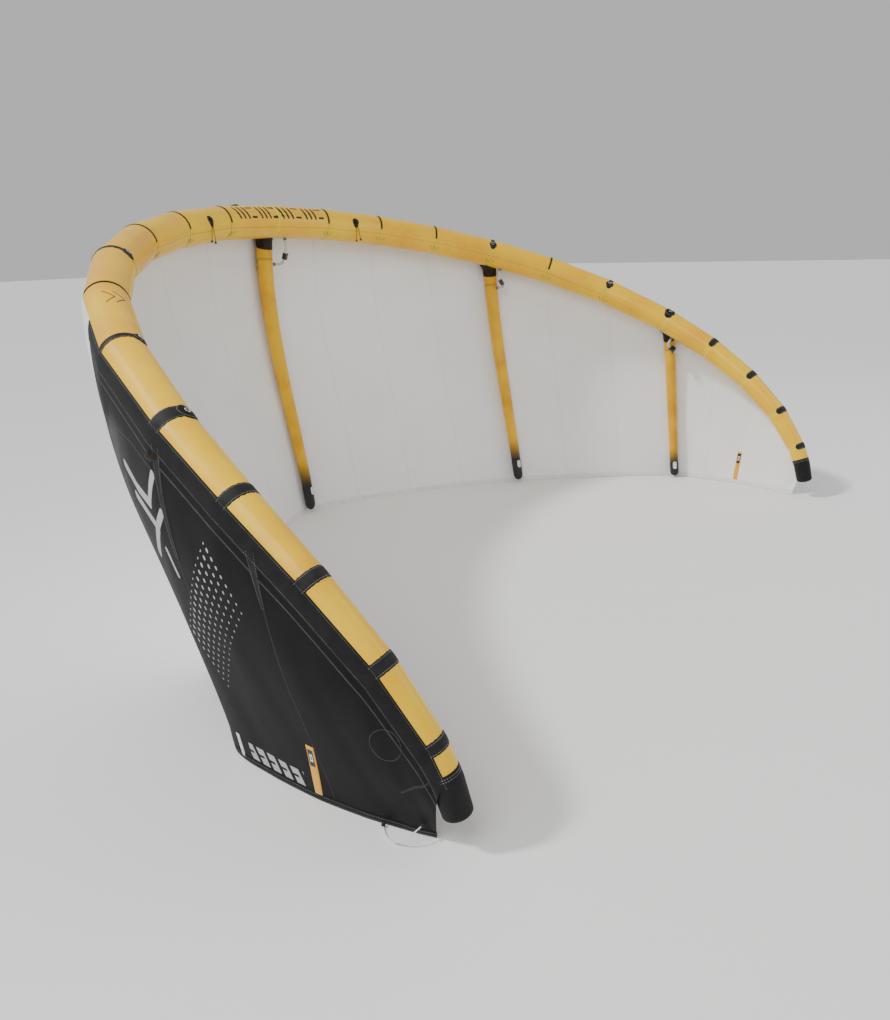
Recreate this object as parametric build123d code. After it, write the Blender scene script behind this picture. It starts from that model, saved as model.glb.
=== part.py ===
"""Inflatable-leading-edge kitesurf kite, inflated and standing on its trailing edge.

Millimetres.  +X runs along the span, +Z is up and the arc of the wing opens towards -Y.  The
origin is the middle of the footprint, at the height of the ground.  Everything that comes in
pairs is built for the +X side and mirrored in the plane X = 0.
"""
import os
from math import cos, pi, radians, sin, sqrt, tan

from build123d import *

# ---------------------------------------------------------------- driving dimensions
HALF_SPAN = 1927.0            # widest half width of the leading edge, to the tube's centre
ARC_DEPTH = 2003.0            # centre of the wing back to its widest point
STANDING_HEIGHT = 1688.0      # tube centre above the ground at the middle of the wing
TIP_HEIGHT = 110.0            # tube centre above the ground at the end of each tip
MAIN_PANEL_ANGLE = 11.25      # plan angle of each of the main leading edge panels
MAIN_PANELS = 7               # main panels on each side
TIP_PANEL_ANGLES = (8.4, 7.3, 5.9, 4.1, 1.3)   # the shorter panels towards the wing tip
TIP_CAP_ANGLE = 0.75          # plan angle covered by the cap at the tip
CENTRE_RADIUS = 85.0          # leading edge tube, at the middle
TIP_RADIUS = 42.0             # leading edge tube, at the tip

TUBE_WALL = 2.0               # casing cloth of the leading edge and struts
BLADDER_WALL = 2.0            # air bladders inside the casings
BLADDER_GAP = 1.0             # casing to bladder
CANOPY_THICKNESS = 2.0        # canopy cloth
CANOPY_CLEARANCE = 3.0        # leading edge tube to canopy
CANOPY_ANGLE = 2.0            # how far above the tube's outermost line the canopy starts
CAMBER = 0.045                # depth of the canopy's curve, as a share of each chord
RIB_STATIONS = (0.0, 0.07, 0.16, 0.28, 0.42, 0.6, 0.8, 1.0)

STRUT_RINGS = (0, 4, 7)       # seams that carry a strut, on each side
# Where the trailing edge stands under these seams, measured from the tube above it: X, Y.
TRAIL_OFFSETS = {0: (0.0, -119.0), 4: (-126.0, -296.0), 7: (14.0, -125.0), 12: (3.0, 40.0)}
TRAIL_BULGES = {0: 80.0, 4: 30.0, 7: 45.0}     # outward bow of the trailing edge in each bay
STRUT_RADII = {0: (45.0, 27.5), 4: (43.0, 27.5), 7: (34.0, 25.0)}   # upper and lower end
STRUT_CLEARANCE = 6.5         # strut to canopy
STRUT_END = 0.965             # where the strut's casing ends, as a share of the chord
CAP_START = 0.91              # where the end cap's sleeve begins
CAP_TIP = 0.994               # where the end cap stops, just above the ground
CUFF_LENGTH = 75.0            # joint cuff, down the strut from the leading edge
CUFF_THICKNESS = 1.5
SLEEVE_GAP = 0.5              # sleeves, cuffs, tapes and patches to the cloth they lie on
TAPE_THICKNESS = 1.2
TUBE_CLEARANCE = SLEEVE_GAP + TAPE_THICKNESS + 0.6      # strut to the tube, over its bands

TAPE_WIDTHS = {1: 14.0, 2: 14.0, 3: 14.0, 5: 14.0}         # plain seams
NARROW_BANDS = {4: 34.0, 6: 34.0}                          # seams with a bridle point
WIDE_BANDS = {7: 62.0, 8: 46.0, 9: 46.0, 10: 44.0, 11: 40.0}
PATCHES = {1.5: 24.0, 4: 26.0, 6: 26.0, 7: 34.0}           # bridle points: place, patch radius
PATCH_ANGLES = {1.5: 168.0, 4: 150.0, 6: 140.0, 7: 116.0}  # round the tube, from outward over the top
PATCH_THICKNESS = 1.4
RING_RADIUS = 9.0             # bridle rings, to the middle of the wire
RING_WIRE = 1.6

HEM_HEIGHT = 22.0
HEM_THICKNESS = 1.6

TAB_WIDTH = 46.0
TAB_HEIGHT = 188.0
TAB_LIFT = 20.0               # lower edge of the tab above the ground
TAB_RING = 9                  # leading edge seam above the tab

VALVE_STATION = 0.35          # inflation valve, in rings from the middle
DUMP_STATION = -0.55          # deflation valve
VALVE_TILT = 48.0             # valve axes, above the outward direction
VALVE_BORE = 11.5             # radius of the inflation valve's bore
VALVE_WALL = 5.0
VALVE_NECK = 26.0             # length of the neck and of its bore
VALVE_FLANGE = 42.0           # radius
DUMP_BORE = 17.0
DUMP_NECK = 18.0
DUMP_FLANGE = 50.0
FLANGE_THICKNESS = 3.0
LID_THICKNESS = 4.0
LID_GAP = 0.3                 # neck to lid
PIN_RADIUS = 1.5
PIN_GAP = 0.05                # hinge pin's running clearance

HOSE_RADIUS = 7.0
HOSE_FITTING_RADIUS = 10.0
HOSE_FITTING_HEIGHT = 12.0
HOSE_ANGLE = 265.0            # upper fitting, round the tube from outward over the top
HOSE_OFFSET = 95.0            # along the leading edge, from the strut to the upper fitting
HOSE_WALL = 2.0
HOSE_BELOW_CUFF = 65.0        # down the strut, from the cuff's edge to the lower fitting
HOSE_REACH = 42.0             # how far the hose stands out from each fitting before it bends
CLIP_LENGTH = 34.0
CLIP_WIDTH = 24.0
CLIP_WALL = 4.0
CLIP_GAP = 0.4                # hose to clip

# Free line ends: the routes of the ones on the +X side, from the knot outwards.
PIGTAIL_RADIUS = 1.5
REAR_PIGTAIL_RADIUS = 2.0
KNOT_RADIUS = 6.0
PIGTAIL_ROUTES = {
    "bridle_pigtail_a": [(531.7, 1070.3, 1689.5), (530.6, 1069.9, 1673), (529.3, 1068.9, 1657),
                         (528.4, 1068.3, 1640), (527.4, 1068.5, 1620), (525.8, 1068.4, 1600),
                         (525.2, 1068.8, 1580)],
    "bridle_pigtail_b": [(535.5, 1069.1, 1689.1), (537.4, 1067.2, 1674), (539.4, 1065.4, 1658),
                         (542.6, 1063.9, 1641), (546.2, 1062.8, 1623), (549.2, 1061.5, 1604),
                         (553.2, 1060.4, 1586)],
    "rear_pigtail": [(1887, -1236, 52), (1909, -1231, 47), (1927, -1221, 34), (1937, -1205, 17),
                     (1941, -1183, 6), (1938, -1155, 3), (1926, -1129, 3), (1908, -1110, 4)],
}
KNOTS = ((533.6, 1069.7, 1689.3), (525.2, 1068.8, 1578), (553.6, 1060.3, 1584), (1890, -1236, 51),
         (1907, -1109, 7))
WEBBING = (16.0, 34.0, 2.0)   # strap that holds the rear line end: width, length, thickness
WEBBING_HEIGHT = 50.0         # above the ground
WEBBING_LIFT = 3.2            # clear of the canopy, which twists under the flat strap


# ---------------------------------------------------------------- leading edge geometry
def ringAngles():
    """Plan angle of every seam from the middle (0) to the tip's end (13)."""
    angles = [MAIN_PANEL_ANGLE * i for i in range(MAIN_PANELS + 1)]
    for step in TIP_PANEL_ANGLES + (TIP_CAP_ANGLE,):
        angles.append(angles[-1] + step)
    return angles


ANGLES = ringAngles()
LAST_RING = len(ANGLES) - 2          # the seam where the tip cap starts
TIP_END = len(ANGLES) - 1


def planPoint(angle):
    """Tube centre: an ellipse in plan, lifted on a parabola that dives towards the tip."""
    back = (1 - cos(radians(angle))) / (1 - cos(radians(ANGLES[-1])))
    fall = 1 - (TIP_HEIGHT / STANDING_HEIGHT) ** 2
    z = STANDING_HEIGHT * sqrt(1 - fall * back)
    y = -ARC_DEPTH * (1 - cos(radians(angle)))
    return Vector(HALF_SPAN * sin(radians(angle)), y, z)


SHIFT = Vector(0, 0, 0)              # set below, once the canopy's reach is known


def ringCentre(ring):
    point = planPoint(ANGLES[abs(ring)]) + SHIFT
    return Vector(-point.X, point.Y, point.Z) if ring < 0 else point


LENGTHS = [0.0]
for ring in range(1, TIP_END + 1):
    LENGTHS.append(LENGTHS[-1] + (ringCentre(ring) - ringCentre(ring - 1)).length)


def ringRadius(ring):
    share = LENGTHS[abs(ring)] / LENGTHS[-1]
    return CENTRE_RADIUS - (CENTRE_RADIUS - TIP_RADIUS) * share ** 3


def ringTangent(ring):
    """Direction of the tube at a seam, halfway between the panels on each side of it."""
    ahead = ringCentre(min(ring + 1, TIP_END)) - ringCentre(min(ring, TIP_END - 1))
    behind = ringCentre(max(ring, 1 - TIP_END)) - ringCentre(max(ring - 1, -TIP_END))
    return (ahead.normalized() + behind.normalized()).normalized()


def trailPoint(ring):
    """Trailing edge on the ground, bowed outwards between the struts."""
    marks = sorted(TRAIL_OFFSETS)
    start = max(m for m in marks[:-1] if m <= ring)
    end = marks[marks.index(start) + 1]
    share = (LENGTHS[ring] - LENGTHS[start]) / (LENGTHS[end] - LENGTHS[start])
    a, b = (ringCentre(mark) + Vector(*TRAIL_OFFSETS[mark]) for mark in (start, end))
    a, b = Vector(a.X, a.Y), Vector(b.X, b.Y)
    out = Vector(-(b - a).Y, (b - a).X).normalized()
    return a + (b - a) * share + out * (TRAIL_BULGES[start] * 4 * share * (1 - share))


def outward(ring):
    """Unit vector square to the tube and to the chord, away from the inside of the arc."""
    tangent = ringTangent(ring)
    return tangent.cross(trailPoint(ring) - ringCentre(ring)).normalized()


def upward(ring):
    return outward(ring).cross(ringTangent(ring)).normalized() * -1


def station(place):
    """Centre, radius, tangent and outward direction at a fractional ring number, 0 or more."""
    low = min(int(place), TIP_END - 1)
    share = place - low
    centre = ringCentre(low) * (1 - share) + ringCentre(low + 1) * share
    radius = ringRadius(low) * (1 - share) + ringRadius(low + 1) * share
    high = min(low + 1, LAST_RING)
    tangent = (ringTangent(low) * (1 - share) + ringTangent(low + 1) * share).normalized()
    out = outward(min(low, LAST_RING)) * (1 - share) + outward(high) * share
    out = (out - tangent * out.dot(tangent)).normalized()
    return centre, radius, tangent, out


def tubeCircle(place, extra=0.0):
    """Circle round the tube at a fractional ring number, with its radius changed by extra."""
    centre, radius, tangent, out = station(place)
    return Wire.make_circle(radius + extra, Plane(centre, x_dir=out, z_dir=tangent))


def mirrored(shape):
    return shape.mirror(Plane.YZ)


def both(shape):
    return [shape, mirrored(shape)]


def lofted(wires):
    return Solid.make_loft(wires, ruled=True)


def tubeShell(places, outer, inner):
    """Hollow length of tube through the given rings, between two changes of radius."""
    shell = lofted([tubeCircle(p, outer) for p in places])
    return shell - lofted([tubeCircle(p, inner) for p in places])


def tubeBody(ring, extra):
    """The leading edge near one seam as a closed solid, to trim what meets it."""
    if ring == 0:
        half = [tubeCircle(p, extra) for p in (0, 1)]
        return lofted([w.mirror(Plane.YZ) for w in half[:0:-1]] + half)
    return lofted([tubeCircle(p, extra) for p in (ring - 1, ring, ring + 1)])


# ---------------------------------------------------------------- canopy and struts
def ribLine(ring):
    """Outer face of the canopy over one seam, from the leading edge to the trailing edge."""
    centre, radius = ringCentre(ring), ringRadius(ring)
    reach = radius + CANOPY_CLEARANCE + CANOPY_THICKNESS
    tilt = radians(CANOPY_ANGLE)
    start = centre + outward(ring) * (reach * cos(tilt)) + upward(ring) * (reach * sin(tilt))
    foot = trailPoint(ring)
    lean = ringTangent(ring).cross(foot - start).normalized().Z
    foot += Vector(0, 0, max(0, lean) * (CANOPY_THICKNESS + SLEEVE_GAP + HEM_THICKNESS))
    chord = foot - start
    out = ringTangent(ring).cross(chord).normalized()
    depth = CAMBER * chord.length * 27 / 4
    return [(start + chord * t + out * (depth * t * (1 - t) ** 2), out, t) for t in RIB_STATIONS]


def footprintShift():
    """Move that puts the middle of the footprint at Y = 0."""
    front = max(point.Y for point, _, _ in ribLine(0))
    level = sqrt(1 - ringTangent(TIP_END).Y ** 2)
    back = ringCentre(TIP_END).Y - ringRadius(TIP_END) * level
    return Vector(0, -(front + back) / 2, 0)


SHIFT = footprintShift()


def ribInset(ring, depth):
    """The rib's line moved inwards."""
    return [point - out * depth for point, out, _ in ribLine(ring)]


def ribSection(ring, near, far, first=0):
    """Closed outline between two depths below the rib's outer face."""
    upper, lower = ribInset(ring, near)[first:], ribInset(ring, far)[first:]
    return Wire.make_polygon(upper + lower[::-1], close=True)


def canopyPanel(number):
    rings = (2 * number - 2, 2 * number - 1, 2 * number)
    return lofted([ribSection(ring, 0, CANOPY_THICKNESS) for ring in rings])


def hemPoints(ring):
    """Outline of the hem's strip on the canopy's inner face."""
    foot, out, _ = ribLine(ring)[-1]
    top = foot + (ribLine(ring)[-2][0] - foot).normalized() * HEM_HEIGHT
    near = CANOPY_THICKNESS + SLEEVE_GAP
    far = near + HEM_THICKNESS
    return [foot - out * near, top - out * near, top - out * far, foot - out * far]


def trailingHem(number):
    rings = (2 * number - 2, 2 * number - 1, 2 * number)
    return lofted([Wire.make_polygon(hemPoints(ring), close=True) for ring in rings])


def strutRadius(ring, share):
    top, bottom = STRUT_RADII[ring]
    return top - (top - bottom) * share ** 1.4


def strutPoint(ring, share):
    """Centre of the strut's tube: the canopy's curve moved inwards by the tube's own radius."""
    line = ribLine(ring)
    index = max(i for i, t in enumerate(RIB_STATIONS[:-1]) if t <= share)
    a, b = line[index], line[index + 1]
    local = (share - a[2]) / (b[2] - a[2])
    point = a[0] * (1 - local) + b[0] * local
    return point - a[1] * (CANOPY_THICKNESS + STRUT_CLEARANCE + strutRadius(ring, share))


def strutCircle(ring, share, extra=0.0):
    ahead, behind = min(share + 0.03, 1.0), max(share - 0.03, 0.0)
    along = (strutPoint(ring, ahead) - strutPoint(ring, behind)).normalized()
    plane = Plane(strutPoint(ring, share), x_dir=ringTangent(ring), z_dir=along)
    return Wire.make_circle(strutRadius(ring, share) + extra, plane)


def strutStations(end):
    return [t for t in RIB_STATIONS if t < end - 0.02] + [end]


def strutShell(ring, shares, outer, inner):
    shell = lofted([strutCircle(ring, t, outer) for t in shares])
    return shell - lofted([strutCircle(ring, t, inner) for t in shares])


def strut(ring):
    shell = strutShell(ring, strutStations(STRUT_END), 0, -TUBE_WALL)
    return largest(shell - tubeBody(ring, TUBE_CLEARANCE))


def strutBladder(ring):
    outside = -TUBE_WALL - BLADDER_GAP
    shares = strutStations(STRUT_END - 0.01)
    skin = strutShell(ring, shares, outside, outside - BLADDER_WALL)
    return largest(skin - tubeBody(ring, TUBE_CLEARANCE + BLADDER_WALL))


def chordLength(ring):
    return (trailPoint(ring) - ringCentre(ring)).length


def jointCuff(ring):
    """Sleeve round the top of the strut, trimmed to the leading edge."""
    end = (ringRadius(ring) + CUFF_LENGTH) / chordLength(ring)
    shares = [0.0, RIB_STATIONS[1], end] if end > RIB_STATIONS[1] + 0.01 else [0.0, end]
    sleeve = strutShell(ring, shares, SLEEVE_GAP + CUFF_THICKNESS, SLEEVE_GAP)
    return largest(sleeve - tubeBody(ring, TUBE_CLEARANCE))


def strutEndCap(ring):
    """Sleeve over the strut's lower end, closed by a blunt cone just above the ground."""
    outer = SLEEVE_GAP + CUFF_THICKNESS
    cone = lofted([strutCircle(ring, CAP_START, outer), strutCircle(ring, STRUT_END, outer),
                   strutCircle(ring, CAP_TIP, -0.45 * STRUT_RADII[ring][1])])
    room = lofted([strutCircle(ring, CAP_START, SLEEVE_GAP),
                   strutCircle(ring, STRUT_END + 0.002, SLEEVE_GAP)])
    return cone - room


def largest(shape):
    """The biggest solid of a trimmed shape."""
    return max(shape.solids(), key=lambda solid: solid.volume)


# ---------------------------------------------------------------- tapes, bands and patches
def ringBand(ring, width, gap=SLEEVE_GAP, thickness=TAPE_THICKNESS):
    """Band round the tube, centred on a seam."""
    before = ring - width / 2 / (LENGTHS[ring] - LENGTHS[ring - 1])
    after = ring + width / 2 / (LENGTHS[ring + 1] - LENGTHS[ring])
    return tubeShell((before, ring, after), gap + thickness, gap)


def tipCap():
    """Closed cap over the tube's last stretch."""
    outer = lofted([tubeCircle(LAST_RING), tubeCircle(TIP_END)])
    inner_end = TIP_END - TUBE_WALL * 2 / (LENGTHS[TIP_END] - LENGTHS[LAST_RING])
    return outer - lofted([tubeCircle(LAST_RING, -TUBE_WALL), tubeCircle(inner_end, -TUBE_WALL)])


def tipTab():
    """Flat identification tab on the canopy's outer face, near the wing tip."""
    line = ribLine(TAB_RING)
    foot, above = line[-1][0], line[-3][0]
    rise = (above - foot).normalized()
    out = line[-1][1]
    out = (out - rise * out.dot(rise)).normalized()
    middle = foot + rise * (TAB_LIFT + TAB_HEIGHT / 2) + out * SLEEVE_GAP
    grounded = (Align.CENTER, Align.CENTER, Align.MIN)
    return Plane(middle, x_dir=rise, z_dir=out).location * Box(
        TAB_HEIGHT, TAB_WIDTH, HEM_THICKNESS, align=grounded)


def panelFrame(place):
    """Centre, radius, axis, outward and up at a place on one straight panel of the tube."""
    low = int(abs(place))
    centre, radius, _, out = station(abs(place))
    axis = (ringCentre(low + 1) - ringCentre(low)).normalized()
    out = (out - axis * out.dot(axis)).normalized()
    return centre, radius, axis, out, axis.cross(out)


def roundTube(place, angle, lift):
    """Point and direction at an angle round the tube, from outward (0) over the top (90)."""
    centre, radius, axis, out, up = panelFrame(place)
    normal = out * cos(radians(angle)) + up * sin(radians(angle))
    return centre + normal * (radius + lift), normal, axis


def patchLift(place):
    """Height of a patch's underside above the tube, clear of a band under it."""
    return SLEEVE_GAP * 2 + TAPE_THICKNESS if place == int(place) else SLEEVE_GAP


def bridlePatch(place, size):
    """Round patch that follows the tube."""
    lift = patchLift(place)
    low, high = place - 0.25, place + 0.25
    places = (low, place, high) if place == int(place) else (low, high)
    point, normal, _ = roundTube(place, PATCH_ANGLES[place], 0)
    cutter = Solid.make_cylinder(size, 60, Plane(point - normal * 30, z_dir=normal))
    return largest(tubeShell(places, lift + PATCH_THICKNESS, lift) & cutter)


def bridleRing(place):
    """Ring lying on its patch, where a bridle line is tied."""
    lift = patchLift(place) + PATCH_THICKNESS + 1.4 + RING_WIRE
    point, normal, axis = roundTube(place, PATCH_ANGLES[place], lift)
    print("bridle ring", place, point, "axis", normal)
    return Solid.make_torus(RING_RADIUS, RING_WIRE, Plane(point, x_dir=axis, z_dir=normal))


# ---------------------------------------------------------------- valves
def valvePlane(place):
    """Plane on the tube's surface with its normal along the valve; X runs along the tube."""
    origin, normal, axis = roundTube(place, VALVE_TILT, SLEEVE_GAP)
    if place < 0:
        flip = [Vector(-v.X, v.Y, v.Z) for v in (origin, normal, axis)]
        return Plane(flip[0], x_dir=flip[2], z_dir=flip[1])
    return Plane(origin, x_dir=axis, z_dir=normal)


def valveParts(place, bore, neck, flange):
    """Valve body with its hinge ears, lid with its knuckle, and hinge pin, on one plane."""
    plane = valvePlane(place)
    outer = bore + VALVE_WALL
    hinge_x = outer + 2 * PIN_RADIUS + 3.0
    hinge_z = FLANGE_THICKNESS + neck + LID_GAP + LID_THICKNESS / 2
    knuckle = 2 * PIN_RADIUS
    with BuildPart() as body:
        Cylinder(flange, FLANGE_THICKNESS, align=(Align.CENTER, Align.CENTER, Align.MIN))
        with Locations((0, 0, FLANGE_THICKNESS)):
            Cylinder(outer, neck, align=(Align.CENTER, Align.CENTER, Align.MIN))
        for side in (-1, 1):
            with Locations((hinge_x - 3, side * 6.5, FLANGE_THICKNESS + neck / 2)):
                Box(10.0, 4.0, neck, align=(Align.CENTER, Align.CENTER, Align.CENTER))
            with Locations(Location((hinge_x, side * 6.5, hinge_z), (90, 0, 0))):
                Cylinder(knuckle, 4.0)
            with Locations((hinge_x - knuckle / 2 - 0.5, side * 6.5, hinge_z - knuckle)):
                Box(knuckle, 4.0, 2 * knuckle)
        Cylinder(bore, 200, mode=Mode.SUBTRACT)
        with Locations(Location((hinge_x, 0, hinge_z), (90, 0, 0))):
            Cylinder(PIN_RADIUS, 40, mode=Mode.SUBTRACT)
        with Locations((0, 0, FLANGE_THICKNESS + neck)):
            Cylinder(outer + 1.2, 40, mode=Mode.SUBTRACT,
                     align=(Align.CENTER, Align.CENTER, Align.MIN))
    with BuildPart() as lid:
        with Locations((0, 0, hinge_z)):
            Cylinder(outer + 0.8, LID_THICKNESS)
        with Locations(((outer + hinge_x) / 2 - 1, 0, hinge_z)):
            Box(hinge_x - outer + 4, 8.0, LID_THICKNESS)
        with Locations(Location((hinge_x, 0, hinge_z), (90, 0, 0))):
            Cylinder(knuckle, 8.0)
            Cylinder(PIN_RADIUS + PIN_GAP, 40, mode=Mode.SUBTRACT)
        with Locations((-outer - 3, 0, hinge_z)):
            Box(10.0, 9.0, LID_THICKNESS)
    pin = Location((hinge_x, 0, hinge_z), (90, 0, 0)) * Cylinder(PIN_RADIUS, 17.0)
    frame = plane.location
    axis = (frame * Location((hinge_x, 0, hinge_z))).position
    print("hinge at", axis, "axis", plane.y_dir, "valve axis", plane.z_dir,
          "mouth", (frame * Location((0, 0, FLANGE_THICKNESS + neck))).position)
    return [frame * shape for shape in (body.part, lid.part, pin)]


# ---------------------------------------------------------------- hoses from tube to struts
def hoseRoute(ring):
    """Upper fitting, lower fitting and the route of the hose between them."""
    step = HOSE_OFFSET / (LENGTHS[ring + 1] - LENGTHS[ring])
    top, leave, _ = roundTube(ring + step, HOSE_ANGLE, SLEEVE_GAP)
    drop = ringRadius(ring) + CUFF_LENGTH + HOSE_BELOW_CUFF
    share = drop / chordLength(ring)
    down = (strutPoint(ring, share + 0.02) - strutPoint(ring, share - 0.02)).normalized()
    side = ringTangent(ring) * 0.80 - outward(ring) * 0.60
    side = (side - down * side.dot(down)).normalized()
    low = strutPoint(ring, share) + side * (strutRadius(ring, share) + SLEEVE_GAP)
    a, b = top + leave * HOSE_FITTING_HEIGHT, low + side * HOSE_FITTING_HEIGHT
    route = [a, a + leave * HOSE_REACH, b + side * HOSE_REACH, b]
    return (top, leave), (low, side), route


def hoseParts(ring):
    """Hose, its two fittings and the pinch clip's frame and lever."""
    (top, leave), (low, side), route = hoseRoute(ring)
    fittings = []
    for base, normal in ((top, leave), (low, side)):
        plane = Plane(base, z_dir=normal)
        fittings.append(Solid.make_cylinder(HOSE_FITTING_RADIUS, HOSE_FITTING_HEIGHT, plane))
    runs = [(route[i + 1] - route[i]) for i in range(3)]
    turns = [runs[i].get_angle(runs[i + 1]) for i in range(2)]
    radii = [0.45 * min(runs[i].length, runs[i + 1].length) / tan(radians(turns[i] / 2))
             for i in range(2)]
    print("hose", ring, "radii", [round(r, 1) for r in radii])
    path = FilletPolyline(*route, radius=radii)
    ends = Plane(route[0], z_dir=leave)
    hose = sweep(ends * (Circle(HOSE_RADIUS) - Circle(HOSE_RADIUS - HOSE_WALL)), path=path)
    middle = (route[1] + route[2]) * 0.5
    along = runs[1].normalized()
    plane = Plane(middle, x_dir=along, z_dir=(leave + side).normalized()
                  - along * (leave + side).normalized().dot(along))
    inner = 2 * (HOSE_RADIUS + CLIP_GAP)
    frame = Box(CLIP_LENGTH, CLIP_WIDTH, inner + 2 * CLIP_WALL) - Box(CLIP_LENGTH * 2, inner, inner)
    pin_x, pin_z = CLIP_LENGTH / 2 - 4, inner / 2 + CLIP_WALL + 4.5
    for edge in (-1, 1):
        ear = Location((pin_x, edge * (CLIP_WIDTH / 2 - 2), pin_z - 2.5)) * Box(8, 4, 9.2)
        frame += ear
    frame -= Location((pin_x, 0, pin_z), (90, 0, 0)) * Cylinder(PIN_RADIUS, 40)
    lever = Location((-2, 0, pin_z)) * Box(CLIP_LENGTH + 4, CLIP_WIDTH - 9, 4)
    lever -= Location((pin_x, 0, pin_z), (90, 0, 0)) * Cylinder(PIN_RADIUS + PIN_GAP, 40)
    pin = Location((pin_x, 0, pin_z), (90, 0, 0)) * Cylinder(PIN_RADIUS, CLIP_WIDTH)
    spot = plane.location
    print("lever", ring, (spot * Location((pin_x, 0, pin_z))).position, "axis", plane.y_dir)
    return hose.solid(), fittings, [(spot * piece).solid() for piece in (frame, lever, pin)]


# ---------------------------------------------------------------- free line ends
def cordTube(name, points, radius):
    """Tube along straight runs joined by the largest arcs that the runs allow."""
    points = [Vector(*p) for p in points]
    runs = [b - a for a, b in zip(points, points[1:])]
    radii = []
    for before, after in zip(runs, runs[1:]):
        turn = radians(before.get_angle(after))
        radii.append(0.45 * min(before.length, after.length) / tan(turn / 2))
    path = FilletPolyline(*points, radius=radii)
    tube = sweep(Plane(points[0], z_dir=runs[0]) * Circle(radius), path=path).solid()
    share = tube.volume / (pi * radius ** 2 * path.length)
    print(name, "length", round(path.length, 1), "volume share", round(share, 4),
          "radii", [round(r, 1) for r in radii])
    return tube


def rearWebbing():
    """Short strap on the canopy's outer face at the foot of the wing tip."""
    (a, out, _), (b, _, _) = ribLine(LAST_RING - 1)[-2], ribLine(LAST_RING)[-2]
    foot = (ribLine(LAST_RING - 1)[-1][0] + ribLine(LAST_RING)[-1][0]) * 0.5
    middle = (a + b) * 0.5
    rise = (middle - foot).normalized()
    out = (out - rise * out.dot(rise)).normalized()
    base = foot + rise * WEBBING_HEIGHT + out * WEBBING_LIFT
    grounded = (Align.CENTER, Align.CENTER, Align.MIN)
    width, length, thickness = WEBBING
    return Plane(base, x_dir=rise, z_dir=out).location * Box(
        length, width, thickness, align=grounded)


# ---------------------------------------------------------------- all nodes
def buildNodes():
    nodes = {}

    def pair(name, shape):
        nodes[name + "_right"] = [shape]
        nodes[name + "_left"] = [mirrored(shape)]

    def everySide(make, rings):
        shapes = []
        for ring in rings:
            shapes += [make(ring)] if ring == 0 else both(make(ring))
        return shapes

    panels = LAST_RING // 2
    for number in range(1, panels + 1):
        rings = (2 * number - 2, 2 * number - 1, 2 * number)
        pair(f"leading_edge_panels_{number}", tubeShell(rings, 0, -TUBE_WALL))
        pair(f"canopy_panel_{number}", canopyPanel(number))
    outside = -TUBE_WALL - BLADDER_GAP
    inside = outside - BLADDER_WALL
    nodes["leading_edge_bladders"] = both(tubeShell(range(LAST_RING + 1), outside, inside))
    nodes["strut_centre"] = [strut(0)]
    pair("strut_inner", strut(4))
    pair("strut_outer", strut(7))
    nodes["strut_bladders"] = everySide(strutBladder, STRUT_RINGS)
    nodes["strut_joint_cuffs"] = everySide(jointCuff, STRUT_RINGS)
    nodes["strut_end_caps"] = everySide(strutEndCap, STRUT_RINGS)
    nodes["tip_caps"] = both(tipCap())
    hems = []
    for number in range(1, panels + 1):
        hems += both(trailingHem(number))
    nodes["trailing_edge_hem"] = hems
    for name, widths in (("seam_tapes", TAPE_WIDTHS | NARROW_BANDS),
                         ("reinforcement_bands", WIDE_BANDS)):
        shapes = []
        for ring, width in widths.items():
            shapes += both(ringBand(ring, width))
        nodes[name] = shapes
    nodes["tip_tabs"] = both(tipTab())
    patches, rings = [], []
    for place, size in PATCHES.items():
        patches += both(bridlePatch(place, size))
        if place == int(place):
            rings += both(bridleRing(place))
    nodes["line_patches"] = patches + both(rearWebbing())
    nodes["bridle_rings"] = rings
    pins = []
    for name, place, bore, neck, flange in (
            ("inflation_valve", VALVE_STATION, VALVE_BORE, VALVE_NECK, VALVE_FLANGE),
            ("deflation_valve", DUMP_STATION, DUMP_BORE, DUMP_NECK, DUMP_FLANGE)):
        body, lid, pin = valveParts(place, bore, neck, flange)
        nodes[name + "_body"], nodes[name + "_lid"] = [body], [lid]
        pins.append(pin)
    hoses, fittings, frames = [], [], []
    for ring in STRUT_RINGS:
        hose, ends, (frame, lever, pin) = hoseParts(ring)
        sides = ((1, "centre"),) if ring == 0 else ((1, "right"), (-1, "left"))
        label = {0: "", 4: "inner_", 7: "outer_"}[ring]
        for side, word in sides:
            turn = (lambda shape: shape) if side == 1 else mirrored
            hoses.append(turn(hose))
            fittings += [turn(end) for end in ends]
            frames.append(turn(frame))
            pins.append(turn(pin))
            nodes[f"clip_lever_{label}{word}"] = [turn(lever)]
    nodes["strut_hoses"] = hoses
    nodes["hose_fittings"] = fittings
    nodes["hose_clip_frames"] = frames
    nodes["hinge_pins"] = pins
    for name, route in PIGTAIL_ROUTES.items():
        radius = REAR_PIGTAIL_RADIUS if name.startswith("rear") else PIGTAIL_RADIUS
        pair(name, cordTube(name, route, radius))
    knots = [Solid.make_sphere(KNOT_RADIUS).moved(Location(place)) for place in KNOTS]
    nodes["pigtail_knots"] = [side for knot in knots for side in both(knot)]
    return nodes


os.makedirs("parts", exist_ok=True)
for name, shapes in buildNodes().items():
    solids = [solid for shape in shapes for solid in shape.solids()]
    export_step(Compound(children=solids, label=name), f"parts/{name}.step")
    print(name, len(solids), round(sum(s.volume for s in solids) / 1000, 1), "cm3")
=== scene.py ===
import math
import bpy
import numpy as np
from mathutils import Matrix, Vector


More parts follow.
